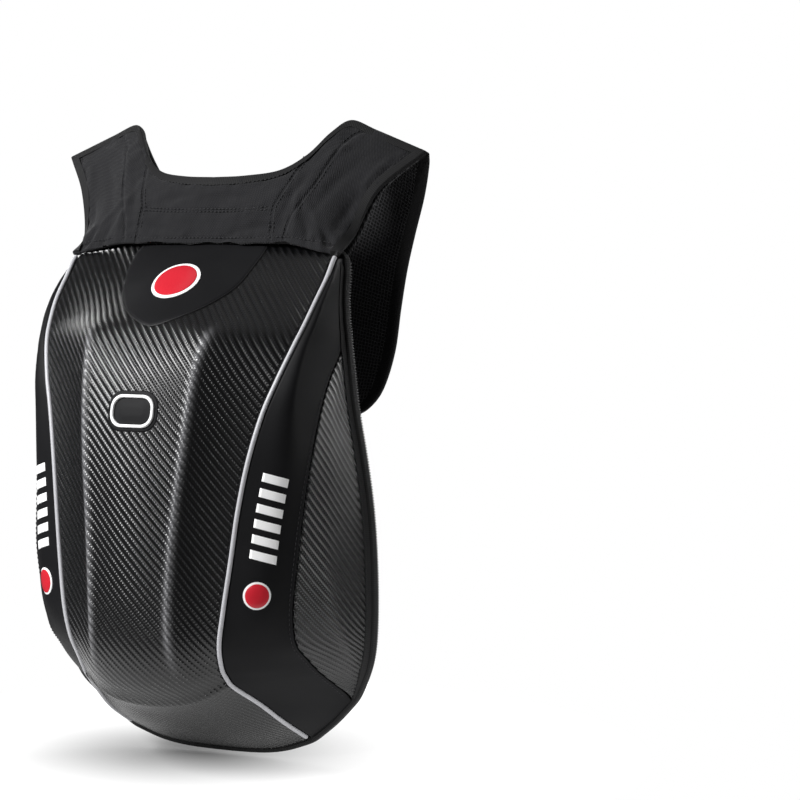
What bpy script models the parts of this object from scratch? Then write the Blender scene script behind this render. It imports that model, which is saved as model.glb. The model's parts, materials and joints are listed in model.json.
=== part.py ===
"""Hard shell backpack: moulded shell, side bands and insets, zip rim, cloth back, yoke and shoulder straps.

Frame: +Z up, the shell faces -Y, the wearer is on +Y. The origin is the centre of the back pad's face.
Metres. Tables hold shares of the named sizes; "forward" runs from the rim plane towards -Y.
"""
from math import cos, pi, sin

import bmesh
import bpy
from mathutils import Vector

# Shell
SHELL_WIDTH = 0.340
SHELL_HEIGHT = 0.480
SHELL_DEPTH = 0.163
SHELL_WALL = 0.0028
PIPING_DIAMETER = 0.0042
PIPING_SINK = 0.0008
SEAM_GAP = 0.0005
GAP = 0.0003

# Rim binding with the zip, gusset and back
RIM_WIDTH = 0.010
RIM_THICKNESS = 0.0075
RIM_OVERHANG = 0.0040
GUSSET_DEPTH = 0.032
GUSSET_OVERHANG = 0.0020
GUSSET_TAPER = 0.020
CLOTH_WALL = 0.0025
PAD_THICKNESS = 0.012
PAD_WIDTH = 0.200
PAD_HEIGHT = 0.390
PAD_CORNER = 0.060
PAD_EDGE_ROUND = 0.005

# Panels laid on the shell
PATCH_WIDTH = 0.136
PATCH_THICKNESS = 0.0010
PLATE_WIDTH = 0.050
PLATE_HEIGHT = 0.031
PLATE_THICKNESS = 0.0024

# Harness
HARNESS_RISE = 0.117
STRAP_REACH = 0.100
STRAP_LENGTH = 0.280
YOKE_THICKNESS = 0.0040
LINING_THICKNESS = 0.0030
STRAP_THICKNESS = 0.0090
TAPE_WIDTH = 0.025
TAPE_THICKNESS = 0.0015
LOCK_WIDTH = 0.036
LOCK_HEIGHT = 0.040
LOCK_THICKNESS = 0.0045
LOCK_BAR = 0.005
WEB_ANCHOR_LENGTH = 0.022
WEB_BOW = 0.012
SLIDER_HEIGHT = 0.014
SLIDER_THICKNESS = 0.004
SLIDER_BAR = 0.004
STERNUM_TAPE_WIDTH = 0.020
STERNUM_TAPE_LENGTH = 0.046
BUCKLE_WIDTH = 0.026
BUCKLE_LENGTH = 0.026
BUCKLE_THICKNESS = 0.009
BUCKLE_WALL = 0.0025
LOOP_WIDTH = 0.016
LOOP_DROP = 0.018
LINING_DROP = 0.010
LINING_TUCK = 0.15

HALF_WIDTH = SHELL_WIDTH / 2
RIM_FORWARD = 0.074
RIM_Y = -(PAD_THICKNESS + GAP + GUSSET_DEPTH)

# The three guide lines of the front shell, top to bottom. across: share of half the width, fwd: share of the
# depth, up: share of the height from its middle; soft: how far the ridge is rounded into its two facets.
FRONT_ROWS = (
    # name, centre fwd, up, ridge across, fwd, up, piping across, fwd, up, soft
    ("under_hem", 0.058, 0.492, 0.400, 0.062, 0.489, 0.800, 0.071, 0.463, 0.50),
    ("hem", 0.160, 0.476, 0.406, 0.150, 0.474, 0.811, 0.160, 0.459, 0.50),
    ("brow", 0.325, 0.446, 0.406, 0.275, 0.442, 0.811, 0.265, 0.418, 0.50),
    ("forehead", 0.490, 0.408, 0.394, 0.400, 0.400, 0.803, 0.383, 0.375, 0.50),
    ("temple", 0.632, 0.366, 0.380, 0.575, 0.360, 0.785, 0.476, 0.333, 0.46),
    ("shoulder", 0.755, 0.320, 0.356, 0.755, 0.320, 0.758, 0.556, 0.292, 0.34),
    ("upper", 0.862, 0.254, 0.332, 0.846, 0.258, 0.703, 0.641, 0.229, 0.20),
    ("plate", 0.933, 0.171, 0.312, 0.900, 0.169, 0.647, 0.699, 0.167, 0.16),
    ("chest", 0.972, 0.083, 0.291, 0.929, 0.083, 0.594, 0.752, 0.083, 0.15),
    ("middle", 0.994, -0.010, 0.265, 0.948, -0.010, 0.553, 0.788, -0.010, 0.15),
    ("waist", 1.006, -0.104, 0.244, 0.963, -0.104, 0.521, 0.807, -0.104, 0.17),
    ("low", 1.009, -0.198, 0.232, 0.969, -0.198, 0.485, 0.822, -0.198, 0.24),
    ("hip", 0.988, -0.271, 0.235, 0.951, -0.267, 0.456, 0.807, -0.258, 0.34),
    ("heel", 0.920, -0.333, 0.250, 0.880, -0.325, 0.437, 0.742, -0.304, 0.46),
    ("tail", 0.800, -0.371, 0.262, 0.785, -0.360, 0.440, 0.690, -0.327, 0.48),
    ("crease", 0.675, -0.397, 0.276, 0.680, -0.384, 0.452, 0.630, -0.346, 0.48),
    ("under", 0.430, -0.436, 0.300, 0.440, -0.422, 0.505, 0.430, -0.387, 0.48),
    ("sole", 0.150, -0.482, 0.330, 0.160, -0.470, 0.544, 0.210, -0.434, 0.48),
    ("rim", -0.120, -0.519, 0.340, -0.105, -0.514, 0.563, -0.080, -0.484, 0.48),
)

# The side band, at the same rows as the front shell: the line where it bulges most, and its outer edge, which
# is the rim above the inset and the seam beside it.
BAND_ROWS = (
    # name, bulge across, fwd, up, edge across, fwd, up
    ("under_hem", 0.816, 0.074, 0.456, 0.819, 0.077, 0.447),
    ("hem", 0.828, 0.155, 0.445, 0.822, 0.081, 0.432),
    ("brow", 0.843, 0.268, 0.414, 0.816, 0.081, 0.406),
    ("forehead", 0.845, 0.385, 0.372, 0.813, 0.078, 0.370),
    ("temple", 0.838, 0.470, 0.330, 0.818, 0.075, 0.332),
    ("shoulder", 0.820, 0.540, 0.290, 0.828, 0.086, 0.293),
    ("upper", 0.800, 0.605, 0.227, 0.834, 0.270, 0.227),
    ("plate", 0.782, 0.630, 0.167, 0.844, 0.400, 0.167),
    ("chest", 0.758, 0.655, 0.083, 0.842, 0.500, 0.083),
    ("middle", 0.722, 0.690, -0.010, 0.824, 0.552, -0.010),
    ("waist", 0.690, 0.720, -0.104, 0.806, 0.585, -0.104),
    ("low", 0.650, 0.725, -0.198, 0.773, 0.570, -0.198),
    ("hip", 0.615, 0.680, -0.260, 0.765, 0.515, -0.262),
    ("heel", 0.610, 0.595, -0.304, 0.778, 0.395, -0.298),
    ("tail", 0.618, 0.520, -0.326, 0.792, 0.295, -0.324),
    ("crease", 0.632, 0.430, -0.346, 0.804, 0.210, -0.342),
    ("under", 0.665, 0.265, -0.377, 0.819, 0.115, -0.361),
    ("sole", 0.702, 0.090, -0.409, 0.836, 0.035, -0.378),
    ("rim", 0.714, -0.052, -0.441, 0.848, -0.018, -0.394),
)

# The side inset: its seam with the band is the band's outer edge; here its crease and its rim edge follow.
INSET_ROWS = (
    # band row, crease across, fwd, up, rim across, fwd, up
    (5.0, 0.829, 0.080, 0.2925, 0.831, 0.074, 0.292),
    (6.0, 0.845, 0.190, 0.229, 0.853, 0.074, 0.227),
    (7.0, 0.860, 0.275, 0.167, 0.876, 0.074, 0.165),
    (8.0, 0.880, 0.340, 0.083, 0.920, 0.074, 0.083),
    (9.0, 0.884, 0.380, -0.010, 0.962, 0.074, -0.010),
    (10.0, 0.892, 0.400, -0.102, 0.982, 0.068, -0.098),
    (11.0, 0.900, 0.375, -0.190, 0.989, 0.062, -0.185),
    (12.0, 0.910, 0.300, -0.248, 0.982, 0.048, -0.246),
    (13.0, 0.915, 0.205, -0.290, 0.968, 0.032, -0.290),
    (14.0, 0.900, 0.135, -0.321, 0.948, 0.020, -0.322),
    (15.0, 0.885, 0.080, -0.344, 0.925, 0.010, -0.343),
    (16.0, 0.868, 0.035, -0.364, 0.895, -0.003, -0.365),
    (17.0, 0.853, 0.012, -0.379, 0.872, -0.011, -0.381),
    (17.6, 0.850, -0.004, -0.388, 0.860, -0.015, -0.389),
)

# The smooth panel on the forehead: the shell's row and the panel's half width as a share of its full one.
PATCH_ROWS = (
    (1.0, 0.98), (1.5, 1.00), (2.0, 0.99), (2.5, 0.975), (3.0, 0.955), (3.5, 0.89), (4.0, 0.76),
    (4.25, 0.63), (4.5, 0.45), (4.7, 0.27), (4.84, 0.07),
)
PATCH_COLUMNS = 3
PATCH_GAP = 0.0007
PLATE_CENTRE_UP = 0.171

# Columns of the yoke from its middle to the arm side. across and fwd as on the shell, back: share of the
# strap's reach, rise: share of the harness rise above the shell's hem.
HEM_UP = 0.4854
YOKE_COLUMNS = (
    # name, hem across, fwd, rise, low across, fwd, back, rise, high across, back, rise, top across, back, rise
    ("centre", 0.000, 0.160, 0.00, 0.000, 0.115, 0.00, 0.25, 0.000, -0.12, 0.38, 0.000, -0.05, 0.520),
    ("panel", 0.210, 0.162, 0.00, 0.204, 0.115, 0.00, 0.25, 0.197, -0.11, 0.39, 0.190, -0.02, 0.532),
    ("seam", 0.418, 0.164, 0.00, 0.405, 0.105, 0.00, 0.27, 0.390, -0.07, 0.43, 0.375, 0.08, 0.578),
    ("collar", 0.530, 0.165, 0.00, 0.520, 0.085, 0.00, 0.28, 0.512, 0.03, 0.50, 0.505, 0.21, 0.705),
    ("shoulder", 0.635, 0.166, -0.03, 0.625, 0.060, 0.00, 0.28, 0.618, 0.14, 0.60, 0.600, 0.37, 0.885),
    ("crest", 0.700, 0.166, -0.05, 0.700, 0.045, 0.00, 0.26, 0.700, 0.19, 0.60, 0.687, 0.50, 0.986),
    ("inner", 0.745, 0.166, -0.06, 0.752, 0.030, 0.00, 0.22, 0.780, 0.205, 0.56, 0.830, 0.51, 0.908),
    ("outer", 0.790, 0.166, -0.07, 0.802, 0.015, 0.00, 0.15, 0.860, 0.205, 0.50, 0.980, 0.515, 0.820),
    ("arm", 0.826, 0.160, -0.075, 0.846, 0.020, 0.03, 0.06, 0.932, 0.19, 0.43, 1.124, 0.515, 0.735),
)
CREST_COLUMN = 5

# The shoulder strap below the crest: its two edges. across: share of half the width, back: share of the
# strap's reach, drop: share of its length below the crest's inner end; depth: share of its full thickness.
CREST_DEPTH = 0.50
STRAP_ROWS = (
    # name, inner across, back, drop, outer across, back, drop, depth
    ("roll", 0.705, 0.690, 0.035, 1.100, 0.690, 0.160, 0.70),
    ("back", 0.695, 0.850, 0.120, 1.030, 0.850, 0.260, 0.95),
    ("chest", 0.605, 0.950, 0.250, 0.955, 0.930, 0.385, 1.00),
    ("upper", 0.515, 1.000, 0.400, 0.900, 0.970, 0.500, 1.00),
    ("middle", 0.465, 1.000, 0.560, 0.868, 0.955, 0.630, 1.00),
    ("lower", 0.450, 0.940, 0.730, 0.856, 0.865, 0.780, 1.00),
    ("foot", 0.460, 0.830, 0.900, 0.820, 0.740, 0.905, 0.95),
    ("toe", 0.490, 0.760, 0.975, 0.750, 0.680, 0.970, 0.80),
    ("end", 0.530, 0.720, 1.003, 0.660, 0.660, 1.000, 0.60),
)
STERNUM_ROW = 4.6
TAPE_FIRST_ROW = 2.0
# Where the lower webbing is sewn to the back panel, as shares of half the width and of the height.
WEB_ANCHOR = (0.705, -0.345)

PIPING_START = 1.15
PIPING_END = 17.85
ROW_STEP = 0.5
FRONT_COLUMNS = (0.0, 0.3, 0.6, 0.85, 1.0, 1.15, 1.5)
BAND_COLUMNS = 5
INSET_COLUMNS = 5
PIPING_SIDES = 6
YOKE_ROW_COUNT = 5
LOOP_SPAN_COLUMNS = 3.5
STRAP_SECTION = ((-0.5, 0.45), (-0.42, 0.85), (0.0, 1.0), (0.42, 0.85), (0.5, 0.45))
RIM_SECTION = ((1, 0.5), (0.5, 1), (-0.9, 1), (-0.9, -1), (0.5, -1), (1, -0.5))


def clear_scene():
    for item in list(bpy.data.objects):
        bpy.data.objects.remove(item, do_unlink=True)


def material(name, colour, roughness, metallic=0.0):
    made = bpy.data.materials.new(name)
    made.use_nodes = True
    shader = made.node_tree.nodes["Principled BSDF"]
    shader.inputs["Base Color"].default_value = (*colour, 1.0)
    shader.inputs["Roughness"].default_value = roughness
    shader.inputs["Metallic"].default_value = metallic
    return made


def at_shell(across, forward, up):
    return Vector((across * HALF_WIDTH, RIM_Y - forward * SHELL_DEPTH, up * SHELL_HEIGHT))


def at_harness(across, forward, back, rise):
    y = RIM_Y - forward * SHELL_DEPTH + back * STRAP_REACH
    return Vector((across * HALF_WIDTH, y, HEM_UP * SHELL_HEIGHT + rise * HARNESS_RISE))


def mirrored(point):
    return Vector((-point.x, point.y, point.z))


def smooth_line(points, position):
    """Point at a fractional index of a smooth curve through the points."""
    last = len(points) - 1
    index = min(int(position), last - 1)
    t = position - index
    before = points[index - 1] if index > 0 else points[0] * 2 - points[1]
    start, end = points[index], points[index + 1]
    after = points[index + 2] if index + 2 <= last else points[last] * 2 - points[last - 1]
    return 0.5 * (
        start * 2 + (end - before) * t + (before * 2 - start * 5 + end * 4 - after) * t**2
        + (start * 3 - before - end * 3 + after) * t**3
    )


def smooth_value(values, position):
    return smooth_line([Vector((value, 0, 0)) for value in values], position).x


def steps(start, end, step):
    count = round((end - start) / step)
    return [start + (end - start) * index / count for index in range(count + 1)]


def evenly(points, count, start_trim=0.0, end_trim=0.0):
    """The same line again with even spacing, shortened at its two ends."""
    lengths = [0.0]
    for first, second in zip(points, points[1:]):
        lengths.append(lengths[-1] + (second - first).length)
    made = []
    for index in range(count):
        target = start_trim + (lengths[-1] - start_trim - end_trim) * index / (count - 1)
        place = next((k for k in range(1, len(lengths)) if lengths[k] >= target), len(lengths) - 1)
        span = lengths[place] - lengths[place - 1]
        made.append(points[place - 1].lerp(points[place], (target - lengths[place - 1]) / span))
    return made


def finish_mesh(name, mesh_maker, finish, sharp_degrees=40):
    body = bmesh.new()
    mesh_maker(body)
    bmesh.ops.remove_doubles(body, verts=body.verts, dist=0.00001)
    bmesh.ops.recalc_face_normals(body, faces=body.faces)
    mesh = bpy.data.meshes.new(name)
    body.to_mesh(mesh)
    body.free()
    mesh.shade_smooth()
    mesh.set_sharp_from_angle(angle=sharp_degrees * pi / 180)
    mesh.materials.append(finish)
    made = bpy.data.objects.new(name, mesh)
    bpy.context.scene.collection.objects.link(made)
    return made


def sheet(name, outer, inner, finish, closed=False):
    """A wall between two grids of points of the same size; closed joins its last column to its first."""
    rows, columns = len(outer), len(outer[0])

    def make(body):
        grids = [[[body.verts.new(point) for point in row] for row in grid] for grid in (outer, inner)]
        last = columns if closed else columns - 1
        for grid in grids:
            for row in range(rows - 1):
                for column in range(last):
                    beside = (column + 1) % columns
                    body.faces.new((grid[row][column], grid[row][beside],
                                    grid[row + 1][beside], grid[row + 1][column]))
        top, bottom = grids
        for row in (0, rows - 1):
            for column in range(last):
                beside = (column + 1) % columns
                body.faces.new((top[row][column], top[row][beside], bottom[row][beside], bottom[row][column]))
        for column in () if closed else (0, columns - 1):
            for row in range(rows - 1):
                body.faces.new((top[row][column], top[row + 1][column],
                                bottom[row + 1][column], bottom[row][column]))

    return finish_mesh(name, make, finish)


def sweep(name, rings, finish, closed=False):
    """A solid through rings of points; an open one has flat ends."""
    def make(body):
        made = [[body.verts.new(point) for point in ring] for ring in rings]
        pairs = list(zip(made, made[1:]))
        if closed:
            pairs.append((made[-1], made[0]))
        for first, second in pairs:
            for index in range(len(first)):
                beside = (index + 1) % len(first)
                body.faces.new((first[index], first[beside], second[beside], second[index]))
        if not closed:
            body.faces.new(made[0])
            body.faces.new(made[-1])

    return finish_mesh(name, make, finish)


def dome(name, rings, centre, back_rings, back_centre, finish):
    """A lid: rings of points that close on a centre point, with the same again for its underside."""
    def make(body):
        tips = []
        edges = []
        for ring_set, tip in ((rings, centre), (back_rings, back_centre)):
            made = [[body.verts.new(point) for point in ring] for ring in ring_set]
            tips.append(body.verts.new(tip))
            count = len(made[0])
            for index in range(count):
                beside = (index + 1) % count
                body.faces.new((tips[-1], made[0][index], made[0][beside]))
                for first, second in zip(made, made[1:]):
                    body.faces.new((first[index], first[beside], second[beside], second[index]))
            edges.append(made[-1])
        for index in range(len(edges[0])):
            beside = (index + 1) % len(edges[0])
            body.faces.new((edges[0][index], edges[0][beside], edges[1][beside], edges[1][index]))

    return finish_mesh(name, make, finish)


def front_guides(row):
    centre = smooth_line([at_shell(0, r[1], r[2]) for r in FRONT_ROWS], row)
    ridge = smooth_line([at_shell(*r[3:6]) for r in FRONT_ROWS], row)
    piping = smooth_line([at_shell(*r[6:9]) for r in FRONT_ROWS], row)
    soft = smooth_value([r[9] for r in FRONT_ROWS], row)
    return centre, ridge, piping, soft


def bend(before, corner, after, t):
    return before * (1 - t) ** 2 + corner * 2 * t * (1 - t) + after * t**2


def front_point(row, across):
    """Point of the shell's outer face; across is 0 at the middle, 1 at the ridge and 2 at the piping."""
    centre, ridge, piping, soft = front_guides(row)
    reach = abs(across)
    if reach < 0.5:
        point = bend(centre.lerp(mirrored(ridge), 0.5), centre, centre.lerp(ridge, 0.5), reach + 0.5)
    elif abs(reach - 1) < soft:
        point = bend(ridge.lerp(centre, soft), ridge, ridge.lerp(piping, soft), (reach - 1 + soft) / (2 * soft))
    elif reach < 1:
        point = centre.lerp(ridge, reach)
    else:
        point = ridge.lerp(piping, reach - 1)
    return mirrored(point) if across < 0 else point


def front_on(x, up):
    """Point of the shell's outer face at a width and a height."""
    row, across = 5.0, 0.5
    for _ in range(60):
        point = front_point(row, across)
        row = min(max(row + (point.z - up) / (SHELL_HEIGHT / (len(FRONT_ROWS) - 1)) * 0.6, 0.0), 14.0)
        width = front_point(row, 1.0).x
        across = across + (x - point.x) / width * 0.7
    return front_point(row, across)


def inward(point, distance):
    """The point moved into the pack, the same way for every panel, so that walls never cross at a seam."""
    forward = (RIM_Y - point.y) / SHELL_DEPTH
    core = at_shell(point.x / HALF_WIDTH * 0.35, min(forward, RIM_FORWARD), point.z / SHELL_HEIGHT * 0.55)
    return point + (core - point).normalized() * distance


def wall(name, outer, thickness, finish):
    return sheet(name, outer, [[inward(point, thickness) for point in row] for row in outer], finish)


def band_guides(row):
    piping = front_guides(row)[2]
    bulge = smooth_line([at_shell(*r[1:4]) for r in BAND_ROWS], row)
    edge = smooth_line([at_shell(*r[4:7]) for r in BAND_ROWS], row)
    return [piping, bulge, edge]


def inset_guides(index):
    row = smooth_value([r[0] for r in INSET_ROWS], index)
    crease = smooth_line([at_shell(*r[1:4]) for r in INSET_ROWS], index)
    rim = smooth_line([at_shell(*r[4:7]) for r in INSET_ROWS], index)
    return [band_guides(row)[2], crease, rim]


def glide(start, end, leaving, arriving, t):
    """A smooth step between two points with a direction at each."""
    ease = t * t * (3 - 2 * t)
    return start.lerp(end, ease) + leaving * t * (1 - t) ** 2 - arriving * t * t * (1 - t)


def across_line(guides, count, start_trim, end_trim):
    """Evenly spaced points through three guides, rounded at the middle one."""
    start, corner, end = guides
    first, second = corner - start, end - corner
    turn = (first.normalized() + second.normalized()).normalized() * min(first.length, second.length)
    line = [glide(start, corner, first, turn, k / 12) for k in range(12)]
    line += [glide(corner, end, turn, second, k / 12) for k in range(13)]
    return evenly(line, count, start_trim, end_trim)


def shell_rows():
    return steps(0, len(FRONT_ROWS) - 1, ROW_STEP)


def piping_trim(row, line):
    """How far a panel stops short of the piping's middle, measured along its own line."""
    first, second = max(row - 0.1, 0), min(row + 0.1, len(FRONT_ROWS) - 1)
    along = front_guides(second)[2] - front_guides(first)[2]
    point = front_guides(row)[2]
    beside = along.cross(point - inward(point, SHELL_WALL)).normalized()
    return (PIPING_DIAMETER / 2 + SEAM_GAP) / abs(beside.dot(line.normalized()))


def make_front_shell(finish):
    grid = []
    for row in shell_rows():
        _, ridge, piping, _ = front_guides(row)
        trim = piping_trim(row, piping - ridge)
        columns = FRONT_COLUMNS + (2 - trim / (piping - ridge).length,)
        half = [front_point(row, across) for across in columns]
        grid.append([mirrored(point) for point in reversed(half[1:])] + half)
    return wall("front_shell", grid, SHELL_WALL, finish)


def on_side(points, side):
    return points if side > 0 else [mirrored(point) for point in points]


def band_line(row):
    guides = band_guides(row)
    return across_line(guides, BAND_COLUMNS, piping_trim(row, guides[1] - guides[0]), SEAM_GAP / 2)


def make_side_band(side_name, side, finish):
    grid = [on_side(band_line(row), side) for row in shell_rows()]
    return wall("side_band_" + side_name, grid, SHELL_WALL, finish)


def make_side_inset(side_name, side, finish):
    grid = [on_side(across_line(inset_guides(index), INSET_COLUMNS, SEAM_GAP / 2, 0), side)
            for index in steps(0, len(INSET_ROWS) - 1, ROW_STEP)]
    return wall("side_inset_" + side_name, grid, SHELL_WALL, finish)


def make_piping(side_name, side, finish):
    rows = [PIPING_START] + shell_rows()[3:-1] + [PIPING_END]
    line = on_side([inward(front_guides(row)[2], PIPING_SINK) for row in rows], side)
    return sweep("piping_" + side_name, round_rings(line, PIPING_DIAMETER / 2, PIPING_SIDES), finish)


def round_rings(line, radius, sides):
    rings = []
    for index, point in enumerate(line):
        before, after = line[max(index - 1, 0)], line[min(index + 1, len(line) - 1)]
        along = (after - before).normalized()
        out = (point - inward(point, radius))
        out = (out - along * out.dot(along)).normalized()
        beside = along.cross(out)
        rings.append([point + (out * cos(2 * pi * k / sides) + beside * sin(2 * pi * k / sides)) * radius
                      for k in range(sides)])
    return rings


def rim_half():
    """The edge of all panels from the top middle to the bottom middle, on the right side."""
    last = len(FRONT_ROWS) - 1
    top = [front_point(0, across) for across in FRONT_COLUMNS] + band_line(0)
    band = [band_guides(row)[2] for row in steps(0.5, INSET_ROWS[0][0] - 0.5, ROW_STEP)]
    inset = [inset_guides(index)[2] for index in steps(0, len(INSET_ROWS) - 1, ROW_STEP)]
    bottom = [front_point(last, across) for across in reversed(FRONT_COLUMNS)]
    return top + band + inset + band_line(last)[::-1] + bottom


def rim_loop():
    half = rim_half()
    return half + [mirrored(point) for point in reversed(half[1:-1])]


def outward_in_plane(loop):
    """At each point of a loop, the direction away from it in the XZ plane."""
    made = []
    for index, point in enumerate(loop):
        along = loop[(index + 1) % len(loop)] - loop[index - 1]
        made.append(Vector((-along.z, 0, along.x)).normalized())
    return made


def make_rim_binding(finish):
    loop = rim_loop()
    rings = []
    for point, out in zip(loop, outward_in_plane(loop)):
        middle = point + out * (RIM_OVERHANG - RIM_THICKNESS / 2) + Vector((0, GAP + RIM_WIDTH / 2, 0))
        ring = []
        for across, along in RIM_SECTION:
            ring.append(middle + out * across * RIM_THICKNESS / 2 + Vector((0, along * RIM_WIDTH / 2, 0)))
        rings.append(ring)
    return sweep("rim_binding", rings, finish, closed=True)


def back_loop(inset, y=None):
    """The rim's outline drawn in towards its middle: at one depth, or a step behind the binding."""
    made = []
    for point in rim_loop():
        depth = point.y + RIM_WIDTH + 2 * GAP if y is None else y
        made.append(Vector((point.x * (1 - inset / HALF_WIDTH), depth, point.z * (1 - 2 * inset / SHELL_HEIGHT))))
    return made


def make_back_wall(finish):
    back_y = -(PAD_THICKNESS + GAP)
    mouth = back_loop(-GUSSET_OVERHANG)
    back = back_loop(GUSSET_TAPER, back_y)
    inner_back = back_loop(GUSSET_TAPER + CLOTH_WALL, back_y - CLOTH_WALL)
    inner_mouth = back_loop(CLOTH_WALL - GUSSET_OVERHANG)

    def make(body):
        loops = [[body.verts.new(point) for point in loop] for loop in (back, mouth, inner_mouth, inner_back)]
        for first, second in zip(loops, loops[1:]):
            for index in range(len(first)):
                beside = (index + 1) % len(first)
                body.faces.new((first[index], first[beside], second[beside], second[index]))
        body.faces.new(loops[0])
        body.faces.new(loops[-1])

    return finish_mesh("back_wall", make, finish)


def rounded_outline(width, height, corner, corner_steps):
    points = []
    for index, (sx, sz) in enumerate(((1, 1), (-1, 1), (-1, -1), (1, -1))):
        for k in range(corner_steps + 1):
            angle = (index + k / corner_steps) * pi / 2
            points.append((sx * (width / 2 - corner) + corner * cos(angle),
                           sz * (height / 2 - corner) + corner * sin(angle)))
    return points


def make_back_pad(finish):
    rings = []
    for inset, y in ((PAD_EDGE_ROUND, -PAD_THICKNESS), (0, PAD_EDGE_ROUND - PAD_THICKNESS),
                     (0, -PAD_EDGE_ROUND), (PAD_EDGE_ROUND, 0.0)):
        outline = rounded_outline(PAD_WIDTH - 2 * inset, PAD_HEIGHT - 2 * inset, PAD_CORNER - inset, 6)
        rings.append([Vector((x, y, z)) for x, z in outline])
    return sweep("back_pad", rings, finish)


def laid_on_shell(name, outline, centre, thickness, ring_shares, finish):
    """A thin panel that follows the shell inside an outline of (x, z) points."""
    def raised(x, z, height):
        return inward(front_on(x, z), -height)

    sets = []
    for height in (GAP + thickness, GAP):
        rings = [[raised(centre[0] + (x - centre[0]) * share, centre[1] + (z - centre[1]) * share, height)
                  for x, z in outline] for share in ring_shares]
        sets.append((rings, raised(centre[0], centre[1], height)))
    return dome(name, sets[0][0], sets[0][1], sets[1][0], sets[1][1], finish)


def make_top_patch(finish):
    top, under = [], []
    for row, share in PATCH_ROWS:
        limit = share * PATCH_WIDTH / 2 / front_guides(row)[1].x
        line = [front_point(row, limit * k / PATCH_COLUMNS) for k in range(-PATCH_COLUMNS, PATCH_COLUMNS + 1)]
        top.append([inward(point, -PATCH_GAP - PATCH_THICKNESS) for point in line])
        under.append([inward(point, -PATCH_GAP) for point in line])
    return sheet("top_patch", top, under, finish)


def make_centre_plate(finish):
    up = PLATE_CENTRE_UP * SHELL_HEIGHT
    outline = [(x, z + up) for x, z in rounded_outline(PLATE_WIDTH, PLATE_HEIGHT, PLATE_HEIGHT * 0.49, 5)]
    return laid_on_shell("centre_plate", outline, (0, up), PLATE_THICKNESS, (0.5, 1.0), finish)


def yoke_column(position):
    """The yoke's outer face along one column, from the hem to the collar or crest."""
    def line(pick):
        return smooth_line([pick(row) for row in YOKE_COLUMNS], position)

    return [
        line(lambda r: at_harness(r[1], r[2], 0, r[3])),
        line(lambda r: at_harness(r[4], r[5], r[6], r[7])),
        line(lambda r: at_harness(r[8], 0, r[9], r[10])),
        line(lambda r: at_harness(r[11], 0, r[12], r[13])),
    ]


def yoke_grid(rows, column_step):
    half = []
    for position in steps(0, len(YOKE_COLUMNS) - 1, column_step):
        guides = yoke_column(position)
        half.append([smooth_line(guides, 3 * k / (rows - 1)) for k in range(rows)])
    columns = [[mirrored(point) for point in column] for column in reversed(half[1:])] + half
    return [list(row) for row in zip(*columns)]


def grid_normals(grid):
    """Unit normals of a grid, towards +Y."""
    rows, columns = len(grid), len(grid[0])
    made = []
    for row in range(rows):
        line = []
        for column in range(columns):
            down = grid[min(row + 1, rows - 1)][column] - grid[max(row - 1, 0)][column]
            side = grid[row][min(column + 1, columns - 1)] - grid[row][max(column - 1, 0)]
            normal = side.cross(down).normalized()
            line.append(-normal if normal.y < 0 else normal)
        made.append(line)
    return made


def moved(grid, normals, distance):
    return [[point + normal * distance for point, normal in zip(*rows)] for rows in zip(grid, normals)]


def make_yoke(finish):
    grid = yoke_grid(YOKE_ROW_COUNT, ROW_STEP)
    return sheet("yoke", grid, moved(grid, grid_normals(grid), YOKE_THICKNESS), finish)


def lining_grid():
    """The wearer's side of the yoke: it meets the yoke at the collar and the back panel at its foot."""
    grid = yoke_grid(YOKE_ROW_COUNT, ROW_STEP)
    grid = moved(grid, grid_normals(grid), YOKE_THICKNESS + GAP)
    back_y = -(PAD_THICKNESS + GAP + LINING_THICKNESS)
    foot = grid[0]
    made = []
    for index, row in enumerate(grid):
        away = 1 - index / (len(grid) - 1)
        made.append([
            Vector((point.x * (1 - LINING_TUCK * away**2), point.y + (back_y - start.y) * away**1.5,
                    point.z - LINING_DROP * away**2))
            for point, start in zip(row, foot)])
    return made


def make_yoke_lining(finish):
    grid = lining_grid()
    return sheet("yoke_lining", grid, moved(grid, grid_normals(grid), LINING_THICKNESS), finish)


def make_hang_loop(finish):
    grid = lining_grid()
    normals = grid_normals(grid)
    row, middle = len(grid) - 2, len(grid[0]) // 2

    def between(line, share):
        place = middle + (share - 0.5) * LOOP_SPAN_COLUMNS
        index = int(place)
        return line[index].lerp(line[index + 1], place - index)

    points = []
    for share in steps(0, 1, 1 / 10):
        off = LINING_THICKNESS + 13 * GAP + TAPE_THICKNESS / 2 + LOOP_DROP * sin(pi * share)
        points.append(between(grid[row], share) + between(normals[row], share) * off)
    frames = []
    for index, point in enumerate(points):
        along = points[min(index + 1, len(points) - 1)] - points[max(index - 1, 0)]
        share = index / (len(points) - 1)
        up = (between(grid[row + 1], share) - between(grid[row], share)).normalized()
        frames.append((point, up, along.cross(up).normalized()))
    return ribbon("hang_loop", frames, LOOP_WIDTH, TAPE_THICKNESS, finish)


def crest_point(column):
    """Where a strap's edge starts, just behind the top of the yoke."""
    top = yoke_column(column)[3]
    layers = YOKE_THICKNESS + LINING_THICKNESS + 5 * GAP
    return top + Vector((0, layers, -STRAP_THICKNESS * CREST_DEPTH / 2))


def strap_edges(position):
    inner = [crest_point(CREST_COLUMN)] + [strap_point(*row[1:4]) for row in STRAP_ROWS]
    outer = [crest_point(len(YOKE_COLUMNS) - 1)] + [strap_point(*row[4:7]) for row in STRAP_ROWS]
    depths = [CREST_DEPTH] + [row[7] for row in STRAP_ROWS]
    return smooth_line(inner, position), smooth_line(outer, position), smooth_value(depths, position)


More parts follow.
